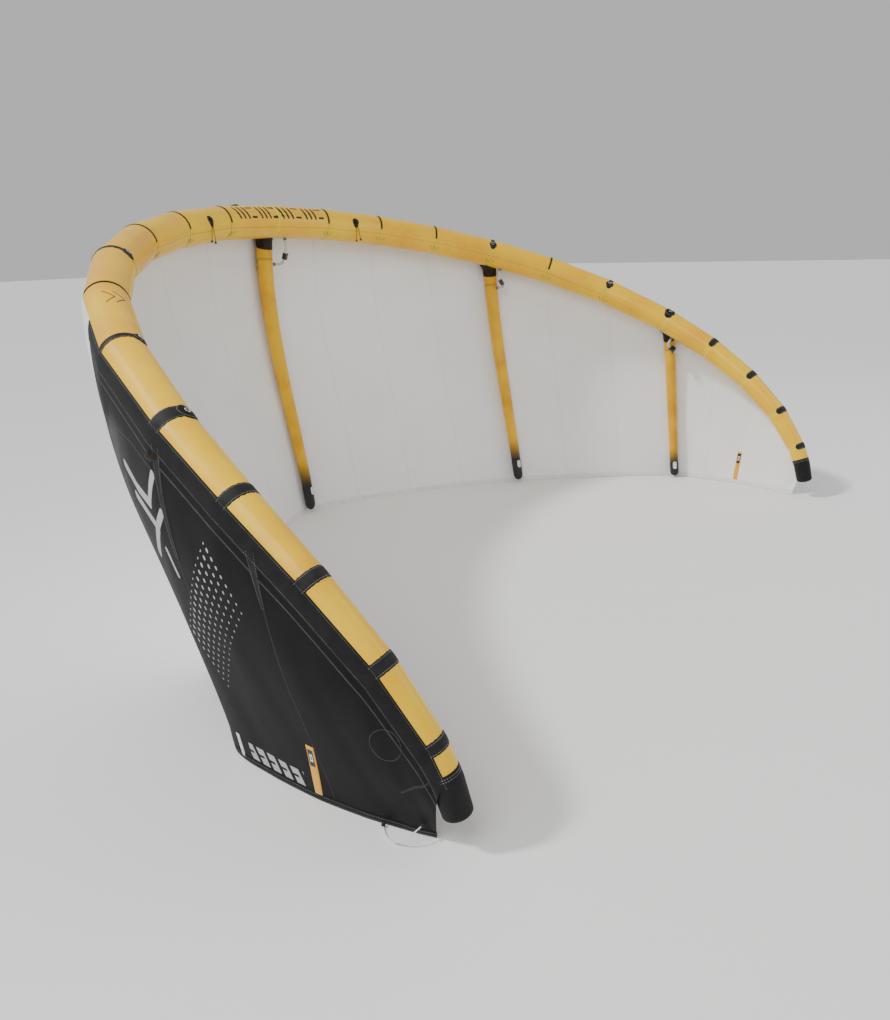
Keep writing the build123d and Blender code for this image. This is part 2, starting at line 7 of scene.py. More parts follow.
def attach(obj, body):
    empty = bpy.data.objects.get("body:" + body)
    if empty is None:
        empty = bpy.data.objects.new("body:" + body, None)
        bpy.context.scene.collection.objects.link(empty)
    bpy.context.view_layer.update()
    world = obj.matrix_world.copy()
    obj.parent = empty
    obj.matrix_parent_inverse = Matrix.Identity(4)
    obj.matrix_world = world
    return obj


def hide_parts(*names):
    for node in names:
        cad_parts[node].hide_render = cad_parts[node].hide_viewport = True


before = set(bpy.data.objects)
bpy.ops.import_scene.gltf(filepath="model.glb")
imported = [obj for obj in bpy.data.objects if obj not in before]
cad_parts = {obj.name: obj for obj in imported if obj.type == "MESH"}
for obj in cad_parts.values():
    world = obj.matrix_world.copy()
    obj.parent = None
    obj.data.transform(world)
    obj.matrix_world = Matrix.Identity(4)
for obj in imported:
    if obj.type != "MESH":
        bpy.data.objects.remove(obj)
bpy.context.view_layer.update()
print("frame loaded:", len(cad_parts), "nodes")

# the kite's geometry, in metres: the same curves as the CAD frame
kite = {
    "halfSpan": 1.927, "arcDepth": 2.003, "height": 1.688, "tipHeight": 0.110,
    "centreRadius": 0.085, "tipRadius": 0.042, "mainAngle": 11.25, "mainPanels": 7,
    "tipAngles": (8.4, 7.3, 5.9, 4.1, 1.3, 0.75), "camber": 0.045, "canopyAngle": 2.0,
    "canopyLift": 0.005, "footLift": 0.0041, "lastRing": 12,
    "trailOffsets": {0: (0.0, -0.119), 4: (-0.126, -0.296), 7: (0.014, -0.125), 12: (0.003, 0.040)},
    "trailBulges": {0: 0.080, 4: 0.030, 7: 0.045},
}
strutRings = {"centre": 0, "inner_right": 4, "inner_left": -4, "outer_right": 7, "outer_left": -7}
strutRadii = {0: (0.045, 0.0275), 4: (0.043, 0.0275), 7: (0.034, 0.025)}
strutGap = 0.0085             # canopy's outer face to the strut's casing
camberShares = (0, 0.07, 0.16, 0.28, 0.42, 0.6)      # where the CAD section has its points


def unit(v):
    # every row divided by its own length
    return v / np.linalg.norm(v, axis=-1, keepdims=True)


def camberDepth(share):
    # share of the chord: 0 at both ends, highest at a third of the way
    return kite["camber"] * 6.75 * share * (1 - share) ** 2


def grid(a, b):
    return np.meshgrid(a, b, indexing="ij")


def halfRings():
    # tube centres on an ellipse in plan, lifted on a parabola; radius falls with the cube of length
    steps = [kite["mainAngle"]] * kite["mainPanels"] + list(kite["tipAngles"])
    angle = np.radians(np.concatenate([[0], np.cumsum(steps)]))
    back = (1 - np.cos(angle)) / (1 - np.cos(angle[-1]))
    fall = 1 - (kite["tipHeight"] / kite["height"]) ** 2
    centre = np.stack([kite["halfSpan"] * np.sin(angle), -kite["arcDepth"] * (1 - np.cos(angle)),
                       kite["height"] * np.sqrt(1 - fall * back)], 1)
    length = np.concatenate([[0], np.cumsum(np.linalg.norm(np.diff(centre, axis=0), axis=1))])
    radius = kite["centreRadius"] - (kite["centreRadius"] - kite["tipRadius"]) * (length / length[-1]) ** 3
    return centre, length, radius


def halfTangents(centre):
    # the middle direction of the two panels that meet at each seam
    mirroredFirst = centre[1] * (-1, 1, 1)
    padded = np.vstack([mirroredFirst, centre])
    step = unit(np.diff(padded, axis=0))
    return unit(step + np.vstack([step[1:], step[-1:]]))


def trailLine(centre, length):
    # straight between the struts' feet, bowed outwards by a parabola in each bay
    foot = np.zeros((kite["lastRing"] + 1, 3))
    marks = sorted(kite["trailOffsets"])
    for start, end in zip(marks, marks[1:]):
        a, b = (centre[m, :2] + kite["trailOffsets"][m] for m in (start, end))
        share = (length[start:end + 1] - length[start]) / (length[end] - length[start])
        out = unit(np.array([-(b - a)[1], (b - a)[0]]))
        bow = kite["trailBulges"][start] * 4 * share * (1 - share)
        foot[start:end + 1, :2] = a + np.outer(share, b - a) + np.outer(bow, out)
    return foot


halfCentre, halfLength, halfRadius = halfRings()
halfTangent = halfTangents(halfCentre)
lastRing = kite["lastRing"]
halfFoot = trailLine(halfCentre, halfLength)
halfOut = unit(np.cross(halfTangent[:lastRing + 1], halfFoot - halfCentre[:lastRing + 1]))
halfOut = np.vstack([halfOut, halfOut[-1:]])
halfOut[-1] = unit(halfOut[-1] - halfTangent[-1] * (halfOut[-1] @ halfTangent[-1]))


def ribFrames():
    # where each rib leaves the tube, where it stands, and which way is out of the wing
    tilt = math.radians(kite["canopyAngle"])
    up = np.cross(halfTangent, halfOut)[:lastRing + 1]
    out = halfOut[:lastRing + 1]
    reach = (halfRadius[:lastRing + 1] + kite["canopyLift"])[:, None]
    start = halfCentre[:lastRing + 1] + (out * math.cos(tilt) + up * math.sin(tilt)) * reach
    tangent = halfTangent[:lastRing + 1]
    lean = unit(np.cross(tangent, halfFoot - start))[:, 2]
    foot = halfFoot.copy()
    foot[:, 2] += np.maximum(0, lean) * kite["footLift"]
    return start, foot, unit(np.cross(tangent, foot - start))


ribStart, ribFoot, ribOut = ribFrames()
middleChord = ribFoot[0] - ribStart[0]
camberMax = ribStart[0, 1] + max(
    middleChord[1] * t + ribOut[0, 1] * camberDepth(t) * np.linalg.norm(middleChord) for t in camberShares)
backReach = halfCentre[-1, 1] - halfRadius[-1] * math.sqrt(1 - halfTangent[-1, 1] ** 2)
shiftY = np.array([0, -(camberMax + backReach) / 2, 0])
halfCentre, ribStart, ribFoot = halfCentre + shiftY, ribStart + shiftY, ribFoot + shiftY
flipX, flipTangent = np.array([-1, 1, 1]), np.array([1, -1, -1])


def bothSides(half, flip):
    return np.vstack([half[:0:-1] * flip, half])


centres, tangents = bothSides(halfCentre, flipX), bothSides(halfTangent, flipTangent)
outs, radii = bothSides(halfOut, flipX), np.concatenate([halfRadius[:0:-1], halfRadius])
lengths = np.concatenate([-halfLength[:0:-1], halfLength])      # signed length along the tube
ribStarts, ribFeet = bothSides(ribStart, flipX), bothSides(ribFoot, flipX)
ribOuts = bothSides(ribOut, flipX)
ups = np.cross(tangents, outs)
ringNumbers = np.arange(-lastRing - 1, lastRing + 2)


def atRing(table, place, first):
    # value at a fractional ring number, in a straight line between rings
    low = np.clip(np.floor(place).astype(int) - first, 0, len(table) - 2)
    share = (place - (low + first))
    share = share.reshape(share.shape + (1,) * (table.ndim - 1))
    return table[low] * (1 - share) + table[low + 1] * share


def placeAt(along):
    # fractional ring number at a length along the tube, measured from the middle
    return np.interp(along, lengths, ringNumbers)


def onTube(along, angle, lift=0.0):
    # point on the tube: circles at the seams joined by straight lines; 0 is outward, 90 is on top
    place = placeAt(np.asarray(along, float))
    turn = np.radians(np.asarray(angle, float))[..., None]
    low = np.clip(np.floor(place).astype(int) + lastRing + 1, 0, len(centres) - 2)
    share = (place - ringNumbers[low])[..., None]
    lift = np.asarray(lift, float)[..., None] if np.ndim(lift) else lift
    ends = [centres[k] + (outs[k] * np.cos(turn) + ups[k] * np.sin(turn)) * (radii[k][..., None] + lift)
            for k in (low, low + 1)]
    return ends[0] * (1 - share) + ends[1] * share


def radiusAt(along):
    return np.interp(np.abs(along), halfLength, halfRadius)


def seamGap(along):
    # distance to the nearest seam
    return np.min(np.abs(np.asarray(along)[..., None] - lengths), axis=-1)


def smooth(x, low, high):
    t = np.clip((x - low) / (high - low), 0, 1)
    return t * t * (3 - 2 * t)


def curveThrough(table, place, first):
    # Catmull-Rom curve through the rows of a table
    low = np.clip(np.floor(place).astype(int) - first, 0, len(table) - 2)
    t = (place - (low + first)).reshape(place.shape + (1,) * (table.ndim - 1))
    a, b = table[np.clip(low - 1, 0, None)], table[low]
    c, d = table[low + 1], table[np.clip(low + 2, None, len(table) - 1)]
    return b + 0.5 * t * (c - a + t * (2 * a - 5 * b + 4 * c - d + t * (3 * (b - c) + d - a)))


def onCanopy(place, share, lift=0.0):
    # a cubic camber curve over each rib, carried across the ribs with half of a smooth curve's bow
    place, share = np.broadcast_arrays(np.asarray(place, float), np.asarray(share, float))

    def surface(carry):
        start, foot = carry(ribStarts, place, -lastRing), carry(ribFeet, place, -lastRing)
        out = unit(carry(ribOuts, place, -lastRing))
        chord = foot - start
        depth = camberDepth(share) * np.linalg.norm(chord, axis=-1)
        return start + chord * share[..., None] + out * depth[..., None]

    bow = 0.5 * smooth(share, 0.02, 0.3)[..., None]
    point = surface(atRing) * (1 - bow) + surface(curveThrough) * bow
    point[..., 2] = np.maximum(point[..., 2], 0.0)
    return point + canopyNormal(place, share) * np.asarray(lift)[..., None] if np.any(lift) else point


def canopyNormal(place, share):
    # square to the steps along and down the cloth
    e = 0.004
    p0, p1 = np.clip(place - e, -lastRing, lastRing), np.clip(place + e, -lastRing, lastRing)
    s0, s1 = np.clip(share - e, 0, 1), np.clip(share + e, 0, 1)
    alongStep = onCanopy(p1, share) - onCanopy(p0, share)
    downStep = onCanopy(place, s1) - onCanopy(place, s0)
    return unit(np.cross(alongStep, downStep))


def chordAt(place):
    return np.linalg.norm(atRing(ribFeet, place, -lastRing) - atRing(ribStarts, place, -lastRing), axis=-1)


# meshes from grids
def gridPiece(name, points, uv=None, aroundV=False, closeEnds=False, flip=False, attributes=None):
    # one quad between each four neighbours of a grid of points; uv has one more column when it closes
    nu, nv = points.shape[:2]
    cols = nv if aroundV else nv - 1
    i, j = grid(np.arange(nu - 1), np.arange(cols))
    corners = [(i, j), (i + 1, j), (i + 1, j + 1), (i, j + 1)]
    if flip:
        corners = corners[::-1]
    faces = np.stack([a * nv + b % nv for a, b in corners], -1).reshape(-1, 4)
    vertices = points.reshape(-1, 3)
    faceList = faces.tolist()
    if closeEnds:
        first, last = list(range(nv)), list(range((nu - 1) * nv, nu * nv))
        faceList += [first[::-1] if flip else first, last if flip else last[::-1]]
    mesh = bpy.data.meshes.new(name)
    mesh.from_pydata(vertices.tolist(), [], faceList)
    if uv is not None:
        loops = np.stack([uv[a, b] for a, b in corners], -2).reshape(-1, 2)
        extra = np.zeros((len(mesh.loops) - len(loops), 2))
        layer = mesh.uv_layers.new(name="surface")
        layer.data.foreach_set("uv", np.vstack([loops, extra]).ravel())
    for key, values in (attributes or {}).items():
        layer = mesh.attributes.new(key, "FLOAT", "POINT")
        layer.data.foreach_set("value", values.ravel().astype(np.float32))
    return finished(name, mesh)


def finished(name, mesh):
    mesh.polygons.foreach_set("use_smooth", np.ones(len(mesh.polygons), bool))
    mesh.update()
    piece = bpy.data.objects.new(name, mesh)
    bpy.context.scene.collection.objects.link(piece)
    return piece


def joined(name, parts):
    # several pieces of one kind become one object
    bpy.ops.object.select_all(action="DESELECT")
    for part in parts:
        part.select_set(True)
    bpy.context.view_layer.objects.active = parts[0]
    if len(parts) > 1:
        bpy.ops.object.join()
    parts[0].name = name
    return parts[0]


def use(piece, material, replaces=(), body="kite"):
    piece.data.materials.clear()
    piece.data.materials.append(material)
    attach(piece, body)
    if replaces:
        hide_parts(*replaces)
    return piece


def patchGrid(across, along, length, width, sharpness=8):
    # a stadium: half width shrinks as a circle near both ends; the edge drops to the cloth
    u, v = grid(np.linspace(-1, 1, along), np.linspace(-1, 1, across))
    x = u * length / 2
    inset = np.clip((np.abs(x) - (length - width) / 2) / (width / 2), 0, 0.995)
    y = v * width / 2 * np.sqrt(1 - inset ** 2)
    edge = 1 - np.maximum(np.abs(v) ** sharpness, np.abs(u) ** (sharpness * length / width))
    return x, y, edge


# materials
class Socket:
    # a shader socket that takes arithmetic: an expression adds its own Math nodes
    def __init__(self, finish, socket):
        self.finish, self.socket = finish, socket

    def math(self, operation, other=None, swapped=False):
        values = [self, other] if not swapped else [other, self]
        node = self.finish.node("ShaderNodeMath", {"operation": operation},
                                {i: v for i, v in enumerate(values) if v is not None})
        return Socket(self.finish, node.outputs[0])

    def __add__(self, other): return self.math("ADD", other)
    def __radd__(self, other): return self.math("ADD", other, True)
    def __sub__(self, other): return self.math("SUBTRACT", other)
    def __rsub__(self, other): return self.math("SUBTRACT", other, True)
    def __mul__(self, other): return self.math("MULTIPLY", other)
    def __rmul__(self, other): return self.math("MULTIPLY", other, True)
    def __truediv__(self, other): return self.math("DIVIDE", other)
    def __lt__(self, other): return self.math("LESS_THAN", other)
    def size(self): return self.math("ABSOLUTE")
    def wrap(self): return self.math("FRACT")
    def least(self, other): return self.math("MINIMUM", other)
    def most(self, other): return self.math("MAXIMUM", other)
    def power(self, other): return self.math("POWER", other)


class Finish:
    # one material: node() adds any node, the other methods name the ones used here
    def __init__(self, name, constants):
        self.material = bpy.data.materials.new(name)
        self.material.use_nodes = True
        self.tree = self.material.node_tree
        self.shader = self.tree.nodes["Principled BSDF"]
        for key, value in constants.items():
            self.shader.inputs[key].default_value = value

    def node(self, kind, settings=None, sockets=None):
        node = self.tree.nodes.new(kind)
        for key, value in (settings or {}).items():
            setattr(node, key, value)
        for key, value in (sockets or {}).items():
            if isinstance(value, Socket):
                self.tree.links.new(value.socket, node.inputs[key])
            elif isinstance(value, (tuple, list)) and len(value) == 3 and node.inputs[key].type == "RGBA":
                node.inputs[key].default_value = (*value, 1)
            else:
                node.inputs[key].default_value = value
        return node

    def surface(self):
        # the piece's own map, in metres: along the piece and across it
        node = self.node("ShaderNodeTexCoord")
        split = self.node("ShaderNodeSeparateXYZ", sockets={0: Socket(self, node.outputs["UV"])})
        return Socket(self, split.outputs[0]), Socket(self, split.outputs[1])

    def space(self):
        return Socket(self, self.node("ShaderNodeTexCoord").outputs["Object"])

    def attribute(self, name):
        return Socket(self, self.node("ShaderNodeAttribute", {"attribute_name": name}).outputs["Fac"])

    def noise(self, scale, detail=3.0, rough=0.5, vector=None):
        node = self.node("ShaderNodeTexNoise", sockets={
            "Vector": vector or self.space(), "Scale": scale, "Detail": detail, "Roughness": rough})
        return Socket(self, node.outputs["Fac"])

    def blend(self, mask, a, b):
        node = self.node("ShaderNodeMix", {"data_type": "RGBA"}, {0: mask, 6: a, 7: b})
        return Socket(self, node.outputs[2])

    def step(self, x, low, high):
        node = self.node("ShaderNodeMapRange", {"interpolation_type": "SMOOTHSTEP"},
                         {"Value": x, "From Min": low, "From Max": high})
        return Socket(self, node.outputs["Result"])

    def feed(self, colour=None, roughness=None, height=None, depth=0.001, strength=1.0):
        links = self.tree.links
        if colour is not None:
            links.new(colour.socket, self.shader.inputs["Base Color"])
        if roughness is not None:
            links.new(roughness.socket, self.shader.inputs["Roughness"])
        if height is not None:
            bump = self.node("ShaderNodeBump", sockets={
                "Height": height, "Distance": depth, "Strength": strength})
            links.new(bump.outputs["Normal"], self.shader.inputs["Normal"])
        return self.material


def box01(finish, x, low, high, soft=0.0006):
    # 1 between two values, with a narrow soft edge
    return finish.step(x, low - soft, low + soft) * (1 - finish.step(x, high - soft, high + soft))


def ripstop(finish, u, v, cell):
    # thin raised threads every cell, both ways
    threads = ((u / cell).wrap() - 0.5).size().most(((v / cell).wrap() - 0.5).size())
    return finish.step(threads, 0.42, 0.5)


tubeColours = {"yellow": (0.96, 0.59, 0.0), "deep": (0.86, 0.42, 0.0), "pale": (1.0, 0.78, 0.03),
               "print": (0.035, 0.022, 0.012), "seamPale": 0.009}
strutColours = {"brown": (0.84, 0.47, 0.0), "deep": (0.66, 0.31, 0.0), "print": (0.03, 0.02, 0.01),
                "rings": (0.10, 0.05, 0.01), "lap": (0.25, 0.12, 0.01), "foot": (0.012, 0.010, 0.009)}
tabColours = {"orange": (0.86, 0.42, 0.02), "deep": (0.80, 0.36, 0.015), "cell": (0.012, 0.012, 0.012),
              "mark": (0.85, 0.85, 0.83)}
clothThreads = 0.0055         # spacing of the canopy's thicker threads


def tubeFinish():
    # coated yellow cloth: cloudy colour, pale edges at the seams, a dark lap line low inside
    f = Finish("yellowCasing", {"Coat Weight": 0.30, "Coat Roughness": 0.14, "Specular IOR Level": 0.35})
    along, around = f.surface()
    gap = f.attribute("seamGap")
    cloud = f.noise(3.5, 4, 0.55)
    colour = f.blend(f.step(cloud, 0.3, 0.75), tubeColours["yellow"], tubeColours["deep"])
    fine = f.noise(60.0, 3, 0.6)
    colour = f.blend(f.step(fine, 0.5, 0.8) * 0.25, colour, tubeColours["pale"])
    edge = 1 - f.step(gap, tubeColours["seamPale"], tubeColours["seamPale"] + 0.003)
    colour = f.blend(edge * 0.65, colour, tubeColours["pale"])
    groove = 1 - f.step(gap, 0.0, 0.0022)
    lap = box01(f, around, 0.565, 0.569, 0.0005)
    colour = f.blend((groove * 0.75).most(lap * 0.55), colour, tubeColours["print"])
    weave = ripstop(f, along, around * 0.5, 0.0035)
    rough = 0.30 + fine * 0.16 + edge * 0.1
    height = weave * 0.10 + f.noise(22.0, 4, 0.6) * 0.5 - groove * 0.9 - lap * 0.4
    return f.feed(colour, rough, height, 0.0016, 0.8)


def strutFinish():
    # the same cloth, browner, fading to black at the foot, with two printed chevrons near the top
    f = Finish("strutCasing", {"Coat Weight": 0.1, "Coat Roughness": 0.25, "Specular IOR Level": 0.35})
    along, around = f.surface()
    share = f.attribute("share")
    cloud = f.noise(6.0, 4, 0.5)
    colour = f.blend(f.step(cloud, 0.35, 0.7), strutColours["brown"], strutColours["deep"])
    centred = ((around + 0.12).wrap() - 0.5).size()
    arrow = ((along + centred * 0.30) / 0.030).wrap() < 0.4
    window = box01(f, along + centred * 0.30, 0.235, 0.292) * (centred < 0.10)
    fade = f.step(share + cloud * 0.03, 0.80, 0.93)
    colour = f.blend(window * arrow * 0.9, colour, strutColours["print"])
    ring = box01(f, along, 0.205, 0.209).most(box01(f, along, 0.213, 0.2155))
    colour = f.blend(ring * 0.7, colour, strutColours["rings"])
    lap = box01(f, around, 0.485, 0.4985, 0.001)
    colour = f.blend(lap * 0.35, colour, strutColours["lap"])
    colour = f.blend(fade, colour, strutColours["foot"])
    weave = ripstop(f, along, around * 0.25, 0.0035)
    height = weave * 0.1 + f.noise(30.0, 4, 0.6) * 0.5 + f.noise(9.0, 2, 0.5) - lap * 0.3
    return f.feed(colour, 0.34 + cloud * 0.15, height, 0.0015, 0.8)


def clothFinish(name, dark, light, rough, cell=0.0022, depth=0.0006, cloudScale=25.0, constants=None):
    # woven cloth or tape: two close colours in clouds, threads both ways
    f = Finish(name, constants or {"Specular IOR Level": 0.25})
    point = f.node("ShaderNodeSeparateXYZ", sockets={0: f.space()})
    x, y, z = (Socket(f, s) for s in point.outputs)
    weave = ((x + z) / cell).wrap() * 0.5 + ((y - z) / cell).wrap() * 0.5
    cloud = f.noise(cloudScale, 4, 0.6)
    colour = f.blend(f.step(cloud, 0.3, 0.7), dark, light)
    return f.feed(colour, rough + cloud * 0.12, weave + cloud * 1.5, depth, 0.7)


def plainFinish(name, colour, rough, constants=None, grain=260.0, depth=0.0002):
    # moulded or metal surfaces: fine grain in the colour, roughness and height
    f = Finish(name, constants or {})
    grainNoise, cloud = f.noise(grain, 3, 0.6), f.noise(30.0, 3, 0.5)
    darker = tuple(c * 0.75 for c in colour)
    return f.feed(f.blend(f.step(cloud, 0.3, 0.7), colour, darker),
                  rough + grainNoise * 0.12, grainNoise, depth, 0.5)


# the soft grey in this table is a painted sheen on the black cloth
canopyArt = {"black": (0.0028, 0.0028, 0.0030), "blackWorn": (0.0075, 0.0075, 0.0080),
             "grey": (0.50, 0.51, 0.52), "seam": (0.035, 0.037, 0.038), "paintedSheenGrey": (0.10, 0.10, 0.105),
             "white": (0.93, 0.93, 0.92), "whiteShade": (0.88, 0.885, 0.88),
             "whiteThread": (0.72, 0.73, 0.73),
             "dotPitch": (0.040, 0.023), "dotOrigin": (3.124, 0.136), "dotTurn": (0.505, 0.863),
             "dotField": (0.56, -0.055, 0.13), "blockPitch": 0.083}
# seams and painted bars of the black cloth: (length along the tube, distance down the cloth)
seamLines = [
    [(2.45, 0.140), (2.63, 0.105), (2.80, 0.088)],
    [(2.89, 0.300), (2.912, 0.385), (2.80, 0.740)],
    [(3.335, 0.125), (3.412, 0.331), (3.55, 0.620)],
    [(2.60, 0.420), (2.40, 0.760), (2.05, 1.200)],
    [(3.90, 0.200), (4.02, 0.030)]]
barLines = [                  # each with its half width
    ([(2.53, 0.229), (2.637, 0.238), (2.75, 0.217)], 0.015),
    ([(2.75, 0.217), (2.808, 0.100)], 0.012),
    ([(2.60, 0.285), (2.788, 0.267), (2.704, 0.401)], 0.014),
    ([(2.84, 0.189), (2.788, 0.267)], 0.011),
    ([(2.819, 0.316), (2.855, 0.368)], 0.009)]


def strokes(f, u, v, points, width):
    # a bent band: the nearest distance to a few straight strokes
    mask = None
    for (ax, ay), (bx, by) in zip(points, points[1:]):
        dx, dy = bx - ax, by - ay
        span = math.hypot(dx, dy)
        t = ((u - ax) * (dx / span ** 2) + (v - ay) * (dy / span ** 2)).most(0.0).least(1.0)
        px, py = u - ax - t * dx, v - ay - t * dy
        distance = (px * px + py * py).power(0.5)
        one = 1 - f.step(distance, width - 0.0015, width + 0.0015)
        mask = one if mask is None else mask.most(one)
    return mask


def dotField(f, u, v):
    # round dots on a turned square lattice, smaller from one long side of the field to the other
    (u0, v0), (c, d) = canopyArt["dotOrigin"], canopyArt["dotTurn"]
    run = (u0 - u) * c + (v - v0) * d
    across = (u - u0) * d + (v - v0) * c
    x, y = (((k / pitch).wrap() - 0.5) * pitch for k, pitch in zip((run, across), canopyArt["dotPitch"]))
    radial = (x * x + y * y).power(0.5)
    longSide, nearSide, farSide = canopyArt["dotField"]
    field = box01(f, run, 0.0, longSide) * box01(f, across, nearSide, farSide)
    return (radial < (0.0066 - (across - nearSide) * 0.020)) * field


def footPrint(f, u, up):
    # slanted plain blocks in a row above the trailing edge
    slant = ((u + up * 0.5) / canopyArt["blockPitch"]).wrap()
    row = box01(f, u, 2.965, 3.365) * box01(f, up, 0.030, 0.088)
    slot = box01(f, up, 0.054, 0.064) * (slant < 0.45)
    return (slant < 0.66) * row * (1 - slot)


def blackCanopyFinish():
    # black ripstop: seams between cloth panels, pale bars, a field of dots, blocks along the foot, and
    # painted sheen in the bay beside the white cloth
    f = Finish("blackCanopy", {"Specular IOR Level": 0.18})
    u, v = f.surface()
    up = f.attribute("footGap")
    cloud = f.noise(4.0, 4, 0.6)
    colour = f.blend(f.step(cloud, 0.35, 0.75), canopyArt["black"], canopyArt["blackWorn"])
    # painted sheen: soft mottled grey over the first black bay, beside the white cloth, stands in for the
    # black cloth's sheen
    soft = f.step(u, 2.10, 2.25) * (1 - f.step(u, 2.42, 2.62)) * f.step(v, 0.07, 0.16)
    colour = f.blend(soft * f.step(f.noise(7.0, 3, 0.5), 0.35, 0.7) * 0.8, colour, canopyArt["paintedSheenGrey"])
    seams = box01(f, v, 0.052, 0.058)
    for line in seamLines:
        seams = seams.most(strokes(f, u, v, line, 0.0028))
    colour = f.blend(seams * 0.8, colour, canopyArt["seam"])
    paint = dotField(f, u, v).most(footPrint(f, u, up))
    for points, width in barLines:
        paint = paint.most(strokes(f, u, v, points, width))
    colour = f.blend(paint * 0.92, colour, canopyArt["grey"])
    threads = ripstop(f, u, v, clothThreads)
    colour = f.blend(threads * 0.12, colour, canopyArt["seam"])
    height = threads * 0.25 + seams * 1.2 + f.noise(14.0, 4, 0.55) * 0.8
    return f.feed(colour, 0.50 + cloud * 0.14 + paint * 0.1, height, 0.0012, 0.7)


def whiteCanopyFinish():
    # thin white ripstop, with fine threads and faint seams along the ribs
    f = Finish("whiteCanopy", {"Sheen Weight": 0.1})
    u, v = f.surface()
    gap = f.attribute("seamGap")
    cloud = f.noise(3.0, 4, 0.5)
    threads = ripstop(f, u, v, clothThreads)
    seams = box01(f, gap, 0.004, 0.0075).most(box01(f, v, 0.052, 0.056))
    colour = f.blend(f.step(cloud, 0.3, 0.8), canopyArt["white"], canopyArt["whiteShade"])
    colour = f.blend((threads * 0.12).most(seams * 0.35), colour, canopyArt["whiteThread"])
    height = threads * 0.2 + seams * 0.6 + f.noise(12.0, 3, 0.5) * 0.6
    return f.feed(colour, 0.5 + cloud * 0.1, height, 0.001, 0.6)


def tabFinish():
    # orange label cloth with a dark cell and a pale plain mark in it
    f = Finish("tipTab", {"Coat Weight": 0.2})
    u, v = f.surface()
    cell = box01(f, u, 0.112, 0.176) * box01(f, v, -0.016, 0.016)
    mark = box01(f, u, 0.130, 0.158) * box01(f, v, -0.008, 0.008)
    hole = box01(f, u, 0.137, 0.151) * box01(f, v, -0.0035, 0.0035)
    colour = f.blend(f.step(f.noise(30.0), 0.3, 0.7), tabColours["orange"], tabColours["deep"])
    colour = f.blend(cell, colour, tabColours["cell"])
    colour = f.blend(mark * (1 - hole), colour, tabColours["mark"])
    return f.feed(colour, 0.42 + cell * 0.1, f.noise(160.0), 0.0004, 0.5)


darkBand = clothFinish("darkBand", (0.010, 0.010, 0.011), (0.022, 0.022, 0.023), 0.55)
brownCuff = clothFinish("brownCuff", (0.012, 0.007, 0.004), (0.028, 0.016, 0.008), 0.5)
blackCloth = clothFinish("blackCloth", (0.004, 0.004, 0.0045), (0.010, 0.010, 0.011), 0.55)
whiteTape = clothFinish("whiteTape", (0.80, 0.80, 0.79), (0.88, 0.88, 0.87), 0.5)
greyThread = clothFinish("greyThread", (0.22, 0.22, 0.23), (0.36, 0.36, 0.37), 0.6)
seamThread = clothFinish("seamThread", (0.10, 0.10, 0.105), (0.20, 0.20, 0.21), 0.6)
darkThread = clothFinish("darkThread", (0.05, 0.03, 0.015), (0.10, 0.06, 0.02), 0.6)
whiteLine = clothFinish("whiteLine", (0.72, 0.72, 0.70), (0.88, 0.88, 0.86), 0.55, 0.0012, 0.0006, 90.0)
darkLine = clothFinish("darkLine", (0.020, 0.014, 0.010), (0.045, 0.032, 0.02), 0.55, 0.001, 0.0005, 90.0)
greyPlastic = plainFinish("greyPlastic", (0.16, 0.16, 0.17), 0.38)
blackPlastic = plainFinish("blackPlastic", (0.015, 0.015, 0.016), 0.26, {"Coat Weight": 0.2})
blackRubber = plainFinish("blackRubber", (0.013, 0.012, 0.012), 0.48)
brightSteel = plainFinish("brightSteel", (0.62, 0.62, 0.63), 0.2, {"Metallic": 1.0})
clearHose = plainFinish("clearHose", (0.62, 0.63, 0.62), 0.22, {"Coat Weight": 0.3})
palePaint = plainFinish("palePaint", (0.84, 0.84, 0.82), 0.4)
darkPaint = plainFinish("darkPaint", (0.014, 0.012, 0.011), 0.42)
print("finishes made")

# leading edge tube
casing = {"perPanel": 26, "around": 112, "pinch": 0.0016, "pinchWidth": 0.006, "pucker": 0.0011,
          "puckerReach": 0.045, "puckerStart": 0.012, "puckerCounts": (26, 17), "panelTurns": (2.1, 3.57),
          "swell": 0.0006, "swellReach": 0.05}


def buildCasing():
    # the ruled tube, drawn in at each seam, with puckers that fade away from it, most on the inside
    share = 0.5 - 0.5 * np.cos(np.pi * np.linspace(0, 1, casing["perPanel"], endpoint=False))
    rings = lengths[1:-1]
    spread = np.concatenate([a + (b - a) * share for a, b in zip(rings, rings[1:])] + [rings[-1:]])
    s, a = grid(spread, np.linspace(0, 360, casing["around"] + 1))
    gap = seamGap(s)
    inner = 0.35 + 0.65 * (1 - np.cos(np.radians(a))) / 2
    fold = sum(weight * np.sin(np.radians(a) * count + np.floor(placeAt(s)) * turn) for weight, count, turn
               in zip((0.6, 0.4), casing["puckerCounts"], casing["panelTurns"]))
    fade = np.exp(-gap / casing["puckerReach"]) * smooth(gap, 0.0, casing["puckerStart"])
    lift = (-casing["pinch"] * np.exp(-(gap / casing["pinchWidth"]) ** 2)
            + casing["pucker"] * inner * fold * fade
            + casing["swell"] * smooth(gap, 0.0, casing["swellReach"]))
    piece = gridPiece("leading_edge_casing", onTube(s, a, lift)[:, :-1], np.stack([s, a / 360], -1),
                      aroundV=True, flip=True, attributes={"seamGap": gap[:, :-1]})
    nodes = [f"leading_edge_panels_{n}_{side}" for n in range(1, 7) for side in ("left", "right")]
    return use(piece, tubeFinish(), nodes)


buildCasing()


tapes = {
    "plain": {"widths": dict.fromkeys((1, 2, 3, 5), 0.012), "from": 40, "to": 188},
    "narrow": {"widths": dict.fromkeys((4, 6), 0.030), "from": 22, "to": 162,
               "rowInset": 0.005, "rowStart": 6},
    "wide": {"widths": {7: 0.060, 8: 0.046, 9: 0.046, 10: 0.044, 11: 0.040}, "from": 8, "to": 158,
             "rowInset": 0.007, "rowStart": 4}}


